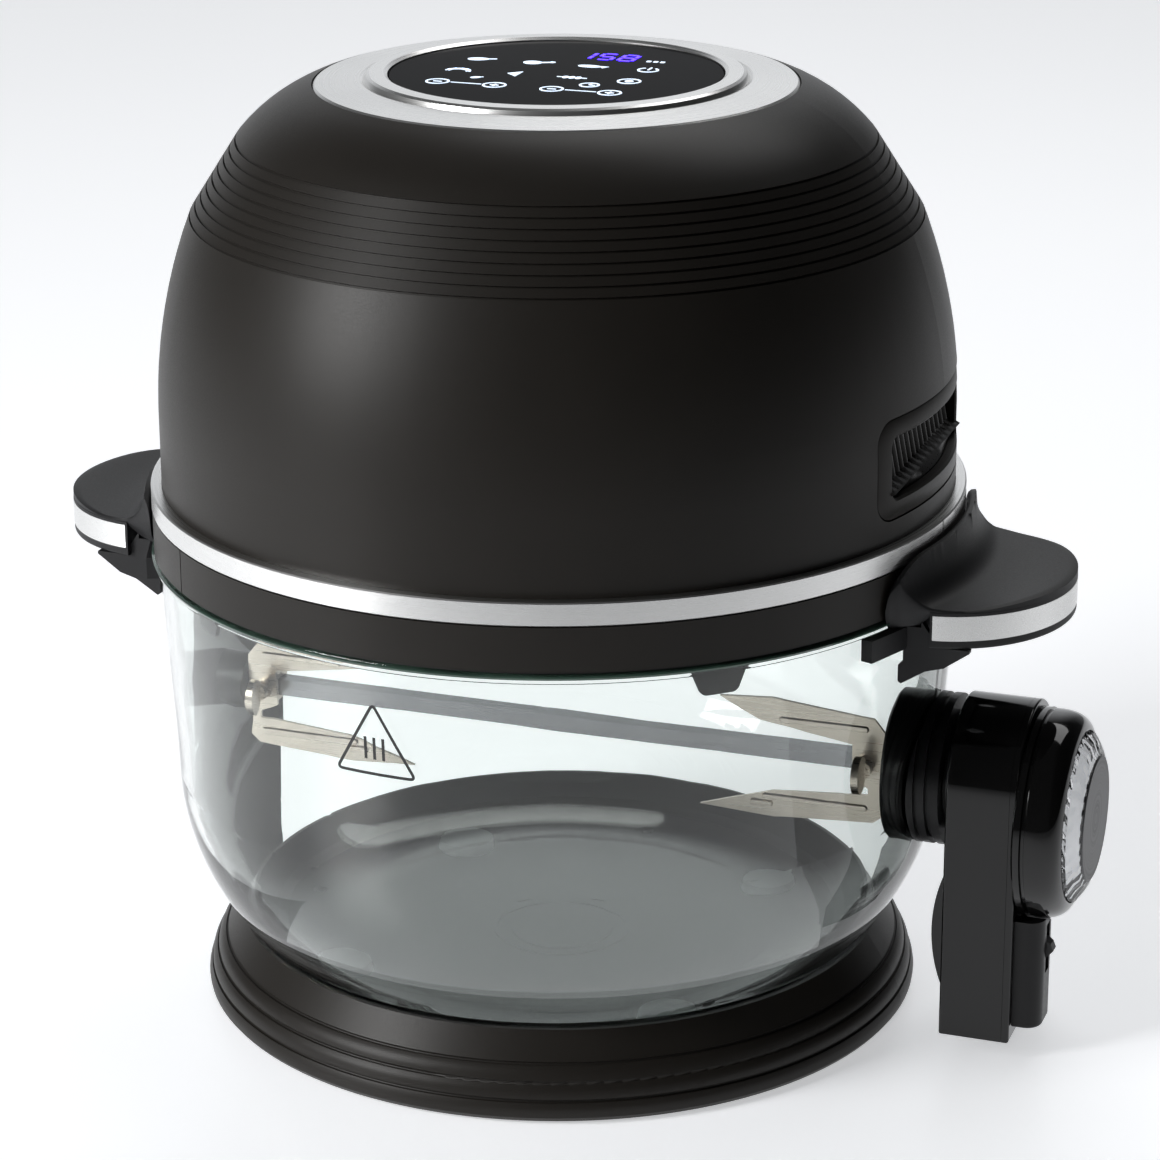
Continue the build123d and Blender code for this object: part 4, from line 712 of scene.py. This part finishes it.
# ---- grips --------------------------------------------------------------------------------
@dataclass
class Grips:
    """The saddle-shaped grip covers, with a flange that hugs the collar."""

    collar_r: float = 0.1512
    root_deg: float = 21.9
    flange_top: float = 0.1962
    flange_thick: float = 0.0028
    shelf_z: float = 0.1800
    dish: float = 0.0009
    oval_centre_x: float = 0.150
    oval_deg: float = 84.0
    neck_share: float = 0.30
    neck_points: int = 40
    flat_deg: float = 13.0
    edge_round: float = 0.0006
    sweep_w: float = 0.0095
    sections: int = 120
    top_points: int = 36

    def build(self) -> None:
        """Make the right cover and its mirror image."""
        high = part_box("handle_body_right")[1]
        self.reach = high.x - self.oval_centre_x
        self.half_w = high.y
        self.low_z = high.z + 0.00005
        sections = [self._section(i / self.sections) for i in range(self.sections + 1)]
        cover = lofted("grip_cover_right", sections, cap_ends=False, angle_deg=50.0)
        other = mirrored(cover, "grip_cover_left")
        finish_piece(cover, "bowl", "black_grip", replaces=("handle_cover_right",))
        finish_piece(other, "bowl", "black_grip", replaces=("handle_cover_left",))

    def _outline(self, share: float) -> Point:
        """Find a place on the cover's outer edge.

        Args:
            share: how far round it is, from the front root to the rear root.

        Returns:
            The place, seen from above.
        """
        side = -1.0 if share < 0.5 else 1.0
        t = min(share, 1 - share) * 2
        root = math.radians(self.root_deg)
        corner = (self.collar_r * math.cos(root), self.collar_r * math.sin(root))
        start_angle = math.radians(self.oval_deg)
        oval_start = (self.oval_centre_x + self.reach * math.cos(start_angle),
                      self.half_w * math.sin(start_angle))
        if t < self.neck_share:
            neck = bezier([corner, (corner[0] + 0.0045, corner[1] - 0.0040),
                           (oval_start[0] - 0.0060, oval_start[1] + 0.0010), oval_start], self.neck_points)
            x, y = neck[round(self.neck_points * t / self.neck_share)]
            return (x, side * y)
        angle = start_angle * (1 - (t - self.neck_share) / (1 - self.neck_share))
        return (self.oval_centre_x + self.reach * math.cos(angle), side * self.half_w * math.sin(angle))

    def _flange(self, angle_deg: float) -> float:
        """Find the height of the flange's top where it stands against the collar.

        Args:
            angle_deg: how far the place is turned from the grip's middle.

        Returns:
            The height.
        """
        turn = abs(angle_deg)
        if turn < self.flat_deg:
            return self.flange_top
        share = (turn - self.flat_deg) / (self.root_deg - self.flat_deg)
        drop = self.flange_top - self.shelf_z - 0.0008
        return self.flange_top - drop * (1 - math.sqrt(max(0.0, 1 - share**1.7)))

    def _section(self, share: float) -> list[Place]:
        """One closed upright section, from the collar to the outer edge and back below.

        Args:
            share: how far round the cover it is, from 0 to 1.

        Returns:
            The section's corners, in order.
        """
        edge = Vector(self._outline(share))
        turn = self.root_deg * (2 * share - 1)
        back = Vector((math.cos(math.radians(turn)), math.sin(math.radians(turn)))) * self.collar_r
        root = 1.0 - smooth_step(min(share, 1 - share), 0.10, 0.165)
        reach = (edge - back).length
        points: list[Place] = []
        for i in range(self.top_points + 1):
            v = (i / self.top_points) ** 1.5
            place = back.lerp(edge, v)
            out = v * reach
            near_wall = max(0.0, 1 - max(0.0, out - self.flange_thick) / self.sweep_w)
            fall = 1 - math.sqrt(1 - near_wall * near_wall)
            lip = smooth_step(out, 0.020, 0.040)
            hollow = self.dish * smooth_step(out, 0.006, 0.020) * (1 - lip)
            z = self.shelf_z + 0.0010 * lip - hollow + (self._flange(turn) - self.shelf_z) * fall
            near = 1 - v
            if near * reach < self.edge_round:
                drop = 1 - near * reach / self.edge_round
                z -= self.edge_round * (1 - math.sqrt(max(0.0, 1 - drop * drop)))
            if out < 0.0008:
                z -= 0.0006 * (1 - out / 0.0008)
            points.append((place.x, place.y, z))
        bottom = self.low_z - 0.0062 * root
        tuck = 0.0045 * root
        inward = (back - edge).normalized() if reach > 1e-6 else Vector((0, 0))
        side = Vector((0, -1 if share > 0.5 else 1))
        for k in (0.35, 0.7, 1.0):
            z = points[self.top_points][2] * (1 - k) + bottom * k
            shift = side * tuck * k * k
            points.append((edge.x + shift.x, edge.y + shift.y, z))
        foot = edge + side * tuck + inward * min(0.0012, reach * 0.4)
        points.append((foot.x, foot.y, bottom + 0.0002))
        points.append((back.x + side.x * tuck, back.y + side.y * tuck, bottom + 0.0002))
        return points


# ---- vents --------------------------------------------------------------------------------
@dataclass
class Vents:
    """Flush vent frames with a fluted wall and a glossy shelf behind the window."""

    side_border: float = 0.0085
    end_border: float = 0.0068
    corner: float = 0.0088
    depth: float = 0.0035
    flute_pitch: float = 0.0056
    flute_depth: float = 0.0022
    flute_facets: int = 14
    corner_points: int = 8
    side_points: int = 12

    def build(self) -> None:
        """Make both vents."""
        low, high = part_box("vent_right")
        self.centre_z = (low.z + high.z) / 2
        self.half_h = (high.z - low.z) / 2
        self.half_w = high.y
        self.face_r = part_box("trim_ring")[1].x - 0.0040
        frame_piece = self._frame()
        flutes = self._flutes()
        for piece, side in ((frame_piece, "right"), (mirrored(frame_piece, "vent_frame_left"), "left")):
            finish_piece(piece, "head", "matte_black_shell", replaces=(f"vent_{side}",))
        for piece in (flutes, mirrored(flutes, "vent_flutes_left")):
            finish_piece(piece, "head", "gloss_black", VENT_BLACK)

    def _wall_r(self, z: float) -> float:
        """Radius of the dome's wall at a height: upright at first, then drawing in."""
        straight_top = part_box("trim_ring")[1].z + 0.026
        return self.face_r - 0.0021 * max(0.0, (z - straight_top) / 0.028) ** 1.5

    def _loop(self, inset_y: float, inset_z: float, corner: float, sink: float) -> list[Place]:
        """Lay a rounded window on the dome's wall, sunk by a depth.

        Args:
            inset_y: how far its sides are drawn in.
            inset_z: how far its top and foot are drawn in.
            corner: its corners' radius.
            sink: its depth below the wall.

        Returns:
            The window's closed outline.
        """
        half_w, half_h = self.half_w - inset_y, self.half_h - inset_z
        points: list[Point] = []
        quarters = ((1, 1), (-1, 1), (-1, -1), (1, -1))
        for turn, (qy, qz) in enumerate(quarters):
            for i in range(self.corner_points + 1):
                angle = math.radians(90 * (turn + i / self.corner_points))
                points.append((qy * (half_w - corner) + corner * math.cos(angle),
                               self.centre_z + qz * (half_h - corner) + corner * math.sin(angle)))
            next_y, next_z = quarters[(turn + 1) % 4]
            start = Vector(points[-1])
            end = Vector((next_y * (half_w - corner) + corner * math.cos(angle),
                          self.centre_z + next_z * (half_h - corner) + corner * math.sin(angle)))
            points += [tuple(start.lerp(end, k / self.side_points)) for k in range(1, self.side_points)]
        return [(math.sqrt((self._wall_r(z) - sink) ** 2 - y * y), y, z) for y, z in points]

    def _frame(self) -> Piece:
        """Make the flush frame with its rounded inner lip.

        Returns:
            The right-hand frame.
        """
        outer, side, end = self.corner, self.side_border, self.end_border
        loops = [self._loop(0, 0, outer, 0.0024), self._loop(0, 0, outer, 0.0003),
                 self._loop(0.0004, 0.0004, outer - 0.0002, 0.0),
                 self._loop(side - 0.0008, end - 0.0008, outer - 0.0040, 0.0),
                 self._loop(side, end, outer - 0.0044, 0.0008),
                 self._loop(side, end, outer - 0.0044, self.depth),
                 self._loop(side - 0.0012, end - 0.0012, outer - 0.0040, self.depth),
                 self._loop(side - 0.0012, end - 0.0012, outer - 0.0040, 0.0024)]
        return lofted("vent_frame_right", [*loops, loops[0]], cap_ends=False, angle_deg=40.0)

    def _flutes(self) -> Piece:
        """Make the fluted back wall, the glossy shelf below it and a plain lid above it.

        Returns:
            The three as one piece.
        """
        half_w = self.half_w - self.side_border + 0.001
        low_z = self.centre_z - self.half_h + self.end_border - 0.001
        high_z = self.centre_z + self.half_h - self.end_border + 0.001
        back_x = math.sqrt(self.face_r**2 - half_w**2) - 0.0015
        columns = self.flute_facets * round(2 * half_w / self.flute_pitch)
        loops: list[list[Place]] = []
        for i in range(columns + 1):
            y = -half_w + 2 * half_w * i / columns
            wave = self.flute_depth * abs(math.sin(math.pi * (y + half_w) / self.flute_pitch))
            front = math.sqrt((self.face_r - self.depth - 0.0003) ** 2 - y * y)
            shelf_back = back_x + 0.0010
            outline = ((front, low_z), (front, low_z + 0.0012), (shelf_back + 0.002, low_z + 0.0036),
                       (shelf_back, low_z + 0.0046), (back_x - 0.0030 + wave, low_z + 0.0060),
                       (back_x - 0.0055 + wave, high_z - 0.0050), (back_x - 0.0030, high_z - 0.0024),
                       (front, high_z - 0.0012), (front, high_z), (back_x - 0.0085, high_z),
                       (back_x - 0.0085, low_z))
            loops.append([(x, y, z) for x, z in outline])
        return lofted("vent_flutes_right", loops, angle_deg=30.0)


# ---- spit motor's light ring --------------------------------------------------------------
@dataclass
class CrystalRing:
    """Cut clear ring round the motor's cap, with a cone behind it whose brightness is a painted reflection:
    it glows.
    """

    facets: int = 30
    base_r: float = 0.0312
    top_r: float = 0.0236
    cut: float = 0.0008
    turn_axis_z: float = 0.089

    def build(self) -> None:
        """Make the ring and the cone."""
        self.start_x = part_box("crystal_ring")[1].x - 0.0042
        rows = ((self.base_r, 0.0, 0.0), (self.base_r - 0.0002, 0.0012, 0.5),
                (self.base_r - 0.0030, 0.0030, 0.0), (self.base_r - 0.0056, 0.0044, 0.5),
                (self.top_r, 0.0052, 0.0))
        loops = [self._loop(radius, rise, shift, self.cut) for radius, rise, shift in rows]
        loops.append(self._loop(self.top_r - 0.0010, 0.0046, 0.0, 0.0))
        loops.append(self._loop(self.base_r - 0.0016, -0.0012, 0.0, 0.0))
        ring = lofted("cut_light_ring", [*loops, loops[0]], cap_ends=False, angle_deg=1.0)
        finish_piece(ring, "motor_unit", "crystal", replaces=("crystal_ring",))
        rows = ((self.base_r - 0.0018, -0.0016, 0.0), (self.top_r - 0.0014, 0.0036, 0.5),
                (self.top_r - 0.0020, 0.0030, 0.5), (self.base_r - 0.0026, -0.0022, 0.0))
        loops = [self._loop(radius, rise, shift, 0.0) for radius, rise, shift in rows]
        # The cone glows by its own light, a painted reflection of a bright backing.
        cone = lofted("light_ring_painted_reflection", [*loops, loops[0]], cap_ends=False, angle_deg=5.0)
        finish_piece(cone, "motor_unit", "crystal", FOIL_PAINTED_REFLECTION)

    def _loop(self, radius: float, rise: float, shift: float, cut: float) -> list[Place]:
        """Make a zigzag circle that faces +X.

        Args:
            radius: the outer corners' radius.
            rise: how far it stands out along X.
            shift: how far it is turned, in steps between corners.
            cut: how far every second corner is drawn in.

        Returns:
            The circle's corners.
        """
        points = []
        for i in range(2 * self.facets):
            angle = FULL_TURN * (i + shift) / (2 * self.facets)
            r = radius - (cut if i % 2 else 0.0)
            points.append((self.start_x + rise, r * math.cos(angle), self.turn_axis_z + r * math.sin(angle)))
        return points


# ---- rim ----------------------------------------------------------------------------------
@dataclass
class RimBead:
    """The greenish edge of the glass that shows under the collar."""

    height: float = 0.0026
    stand_out: float = 0.0007
    stand_off: float = 0.00008
    plain_r: float = 0.146
    steps: int = 180

    def build(self) -> None:
        """Turn the bead just outside the glass, below the collar."""
        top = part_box("collar_ring")[0].z - 0.00005
        bowl = frame["nodes"]["glass_bowl"]
        radii = []
        for z in (top, top - self.height):
            hit, place, _, _ = bowl.ray_cast(Vector((0.4, 0.05, z)), Vector((-1, 0, 0)))
            radii.append(math.hypot(place.x, place.y) if hit else self.plain_r)
        upper, lower = radii
        foot = top - self.height
        profile = ((upper + self.stand_off, top), (upper + self.stand_out, top),
                   (lower + self.stand_out, top - self.height * 0.7), (lower + self.stand_out * 0.6, foot),
                   (lower + self.stand_off, foot))
        angles = [FULL_TURN * i / self.steps for i in range(self.steps)]
        loops = [[(r * math.cos(a), r * math.sin(a), z) for a in angles] for r, z in (*profile, profile[0])]
        bead = lofted("rim_bead", loops, cap_ends=False, angle_deg=60.0)
        finish_piece(bead, "bowl", "clear_glass", RIM_GREEN)


# ---- mark on the glass --------------------------------------------------------------------
@dataclass
class GlassMark:
    """A plain printed mark on the bowl's front: a rounded triangle with three short bars."""

    centre: Point = (-0.0145, 0.1460)
    half_width: float = 0.0150
    height: float = 0.0262
    stroke: float = 0.0011
    bar_pitch: float = 0.0034
    bar_height: float = 0.0082
    bar_lift: float = 0.0055
    corner_cut: float = 0.0022
    step: float = 0.0012
    stand_off: float = 0.00012
    ink_foot: float = 0.00003

    def build(self) -> None:
        """Lay the strokes on the glass."""
        self.bowl = frame["nodes"]["glass_bowl"]
        x, z = self.centre
        top, foot = z + self.height / 2, z - self.height / 2
        corners = [(x, top), (x + self.half_width, foot), (x - self.half_width, foot)]
        outline: list[Point] = []
        for i, corner in enumerate(corners):
            here, before, after = Vector(corner), Vector(corners[i - 1]), Vector(corners[(i + 1) % 3])
            near = here + (before - here).normalized() * self.corner_cut
            far = here + (after - here).normalized() * self.corner_cut
            outline += bezier([tuple(near), corner, tuple(far)], 6)
        strokes = [[*outline, outline[0]]]
        for k in (-1, 0, 1):
            side, low = x + k * self.bar_pitch, foot + self.bar_lift
            strokes.append([(side, low), (side, low + self.bar_height)])
        mark = joined([self._stroke(line) for line in strokes], "glass_mark")
        finish_piece(mark, "bowl", "satin_black", PRINT_INK)

    def _on_glass(self, x: float, z: float, lift: float) -> Vector:
        """Find the place on the outside of the glass at a width and a height.

        Args:
            x: the width.
            z: the height.
            lift: how far off the glass it stands.

        Returns:
            The place.
        """
        hit, place, normal, _ = self.bowl.ray_cast(Vector((x, -0.4, z)), Vector((0, 1, 0)))
        return place + normal * lift if hit else Vector((x, -0.1436, z))

    def _stroke(self, line: Sequence[Point]) -> Piece:
        """Draw a thin raised line of ink.

        Args:
            line: the places it runs through, as widths and heights.

        Returns:
            The line.
        """
        dense: list[Vector] = []
        for a, b in zip(line, line[1:]):
            count = max(1, math.ceil((Vector(b) - Vector(a)).length / self.step))
            dense += [Vector(a).lerp(Vector(b), i / count) for i in range(count)]
        dense.append(Vector(line[-1]))
        loops = []
        for i, here in enumerate(dense):
            ahead = dense[min(i + 1, len(dense) - 1)] - dense[max(i - 1, 0)]
            across = Vector((-ahead.y, ahead.x)).normalized() * self.stroke / 2
            left, right = here + across, here - across
            places = ((left, self.stand_off), (right, self.stand_off), (right, self.ink_foot),
                      (left, self.ink_foot))
            loops.append([tuple(self._on_glass(*place, lift)) for place, lift in places])
        return lofted("ink", loops)


# ---- panel --------------------------------------------------------------------------------
@dataclass
class Panel:
    """The lit marks on the touch glass: plain food shapes, keys and three digits."""

    column_step: float = 0.0214
    row_step: float = 0.0210
    first_column: float = -0.0345
    first_row: float = 0.0142
    mark_size: float = 0.0080
    stroke: float = 0.0007
    thickness: float = 0.0002
    stand_off: float = 0.00002
    digit_height: float = 0.0105
    digit_centre: Point = (0.0095, 0.0325)
    segment_gap: float = 0.12

    def build(self) -> None:
        """Make the white marks and the blue digits as two pieces."""
        self.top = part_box("touch_glass")[1].z
        marks: list[Piece] = []
        for column in range(3):
            marks += self._food(self._at(column, 0), column)
            marks += self._food(self._at(column, 1), column + 3)
            marks += self._button(self._at(column, 2), column)
        marks += self._power(self._at(3, 0))
        marks += self._lamp(self._at(3, 1))
        marks += self._button(self._at(3, 2), 3)
        for column in (0, 2):
            left, right = self._at(column, 2), self._at(column + 1, 2)
            gap = self.mark_size * 0.62
            marks.append(self._bar((left[0] + gap, left[1]), (right[0] - gap, right[1]), self.stroke * 0.6))
        marks += self._food(self._at(0.48, 1.5), 6)
        marks += self._clock(self._at(2.48, 1.5), 0.42)
        for i in range(3):
            x = self._at(3, 0)[0] - 0.0055 + 0.0026 * i
            marks.append(self._bar((x, 0.0292), (x + 0.0016, 0.0292), 0.0018))
        piece = joined(marks, "panel_marks")
        finish_piece(piece, "head", "panel_glass", LIGHT_MARK)
        digits = joined(self._digits(), "panel_digits")
        finish_piece(digits, "head", "panel_glass", DIGIT_LIGHT)

    def _at(self, column: float, row: float) -> Point:
        """A grid place on the glass."""
        return (self.first_column + column * self.column_step, self.first_row - row * self.row_step)

    def _mark_z(self) -> float:
        """The height of the marks' middle, just clear of the glass."""
        return self.top + self.thickness / 2 + self.stand_off

    def _flat(self, centre: Point, radius: float, corners: int, stretch: Point = (1.0, 1.0),
              turn_deg: float = 0.0) -> Piece:
        """Make a thin flat shape.

        Args:
            centre: its middle.
            radius: its corners' radius.
            corners: how many corners it has.
            stretch: its scale along its own two axes.
            turn_deg: how far it is turned.

        Returns:
            The shape.
        """
        deselect()
        bpy.ops.mesh.primitive_cylinder_add(vertices=corners, radius=radius, depth=self.thickness,
                                            location=(*centre, self._mark_z()),
                                            rotation=(0, 0, math.radians(turn_deg)))
        piece = bpy.context.object
        piece.scale = (*stretch, 1.0)
        return piece

    def _bar(self, start: Point, end: Point, width: float) -> Piece:
        """Make a straight stroke.

        Args:
            start: where it starts.
            end: where it ends.
            width: how wide it is.

        Returns:
            The stroke.
        """
        span = Vector(end) - Vector(start)
        middle = (Vector(start) + Vector(end)) / 2
        deselect()
        bpy.ops.mesh.primitive_cube_add(size=1.0, location=(middle.x, middle.y, self._mark_z()),
                                        rotation=(0, 0, math.atan2(span.y, span.x)))
        piece = bpy.context.object
        piece.scale = (span.length, width, self.thickness)
        return piece

    def _ring(self, centre: Point, radius: float, share: float = 1.0, start_deg: float = 0.0,
              sides: int = 24) -> list[Piece]:
        """Make a ring, or part of one, of short strokes.

        Args:
            centre: its middle.
            radius: its radius.
            share: how much of the whole ring is drawn.
            start_deg: where it starts.
            sides: how many strokes a whole ring has.

        Returns:
            The strokes.
        """
        count = max(3, round(sides * share))
        angles = [math.radians(start_deg) + FULL_TURN * share * i / count for i in range(count + 1)]
        corners = [(centre[0] + radius * math.cos(a), centre[1] + radius * math.sin(a)) for a in angles]
        return [self._bar(a, b, self.stroke) for a, b in zip(corners, corners[1:])]

    def _button(self, centre: Point, index: int) -> list[Piece]:
        """Make a round key with a plus or a minus in it.

        Args:
            centre: its middle.
            index: its column, which is odd for a plus.

        Returns:
            The key's strokes.
        """
        x, y = centre
        pieces = self._ring(centre, self.mark_size * 0.5)
        reach = self.mark_size * 0.2
        pieces.append(self._bar((x - reach, y), (x + reach, y), self.stroke))
        if index % 2:
            pieces.append(self._bar((x, y - reach), (x, y + reach), self.stroke))
        return pieces

    def _power(self, centre: Point) -> list[Piece]:
        """Make a broken ring with an upright stroke, about a centre."""
        pieces = self._ring(centre, self.mark_size * 0.45, 0.82, 122.0)
        pieces.append(self._bar(centre, (centre[0], centre[1] + self.mark_size * 0.55), self.stroke))
        return pieces

    def _lamp(self, centre: Point) -> list[Piece]:
        """A ring with a small filled disc."""
        pieces = self._ring(centre, self.mark_size * 0.5)
        pieces.append(self._flat(centre, self.mark_size * 0.2, 16))
        return pieces

    def _clock(self, centre: Point, size: float) -> list[Piece]:
        """A ring with two hands."""
        pieces = self._ring(centre, self.mark_size * size)
        reach = self.mark_size * size * 0.6
        pieces.append(self._bar(centre, (centre[0], centre[1] + reach), self.stroke))
        pieces.append(self._bar(centre, (centre[0] + reach, centre[1]), self.stroke))
        return pieces

    def _food(self, centre: Point, kind: int) -> list[Piece]:
        """Make one of seven plain food shapes.

        Args:
            centre: its middle.
            kind: which of the seven it is.

        Returns:
            The shape's pieces.
        """
        x, y = centre
        s = self.mark_size
        shapes: list[Callable[[], list[Piece]]] = [
            lambda: [self._flat((x - s * 0.1, y), s * 0.36, 20, (1.35, 0.8), 12.0),
                     self._bar((x + s * 0.3, y + s * 0.1), (x + s * 0.72, y + s * 0.25), s * 0.12)],
            lambda: [self._flat((x - s * 0.15, y), s * 0.36, 20, (1.2, 0.95), 0.0),
                     self._bar((x + s * 0.2, y + s * 0.08), (x + s * 0.7, y + s * 0.3), s * 0.16),
                     self._flat((x + s * 0.72, y + s * 0.32), s * 0.12, 10)],
            lambda: [self._flat((x - s * 0.1, y), s * 0.34, 20, (1.6, 0.7), 0.0),
                     self._flat((x + s * 0.58, y), s * 0.24, 3, (1.0, 1.0), 180.0)],
            lambda: self._ring((x, y - s * 0.2), s * 0.42, 0.5, 0.0)
            + self._ring((x, y - s * 0.2), s * 0.56, 0.5, 0.0)
            + [self._bar((x + s * 0.42 * math.cos(a), y - s * 0.2 + s * 0.42 * math.sin(a)),
                         (x + s * 0.6 * math.cos(a), y - s * 0.2 + s * 0.6 * math.sin(a)), self.stroke)
               for a in (0.3, 0.9, 1.5, 2.1, 2.7)],
            lambda: [self._flat((x, y), s * 0.46, 3, (1.3, 0.8), 90.0)],
            lambda: [self._bar((x - s * 0.7, y), (x + s * 0.7, y), s * 0.07)]
            + [self._flat((x + s * k, y), s * 0.19, 8, (0.8, 1.2)) for k in (-0.3, 0.0, 0.3)],
            lambda: [self._flat((x, y), s * 0.18, 12, (1.3, 0.8), 30.0),
                     self._bar((x, y), (x + s * 0.3, y + s * 0.2), s * 0.08)],
        ]
        return shapes[kind]()

    def _digits(self) -> list[Piece]:
        """Make the figures 158 in seven-segment strokes.

        Returns:
            The strokes.
        """
        height = self.digit_height
        width = height * 0.5
        corners = {"a": ((0, 1), (1, 1)), "b": ((1, 1), (1, 0.5)), "c": ((1, 0.5), (1, 0)),
                   "d": ((0, 0), (1, 0)), "e": ((0, 0.5), (0, 0)), "f": ((0, 1), (0, 0.5)),
                   "g": ((0, 0.5), (1, 0.5))}
        pieces = []
        for index, lit in enumerate(("bc", "afgcd", "abgcdef")):
            left = self.digit_centre[0] + (index - 1.5) * width * 1.55
            for segment in lit:
                (x0, y0), (x1, y1) = corners[segment]
                start = Vector((left + x0 * width, self.digit_centre[1] + (y0 - 0.5) * height))
                end = Vector((left + x1 * width, self.digit_centre[1] + (y1 - 0.5) * height))
                near, far = start.lerp(end, self.segment_gap), start.lerp(end, 1 - self.segment_gap)
                pieces.append(self._bar(tuple(near), tuple(far), height * 0.13))
        return pieces


# ---- whole oven ---------------------------------------------------------------------------
def dress_nodes() -> None:
    """Give every CAD node that stays the finish of its own slot."""
    for part in frame["record"]["subparts"]:
        PAINTS.dress(frame["nodes"][part["node"]], FINISHES[part["material_slot"]])


def main() -> None:
    """Build the studio and every piece, in order."""
    Studio().build()
    dress_nodes()
    for assembly in (Grips(), Vents(), CrystalRing(), RimBead(), GlassMark(), Panel()):
        assembly.build()


if __name__ == "__main__":
    main()
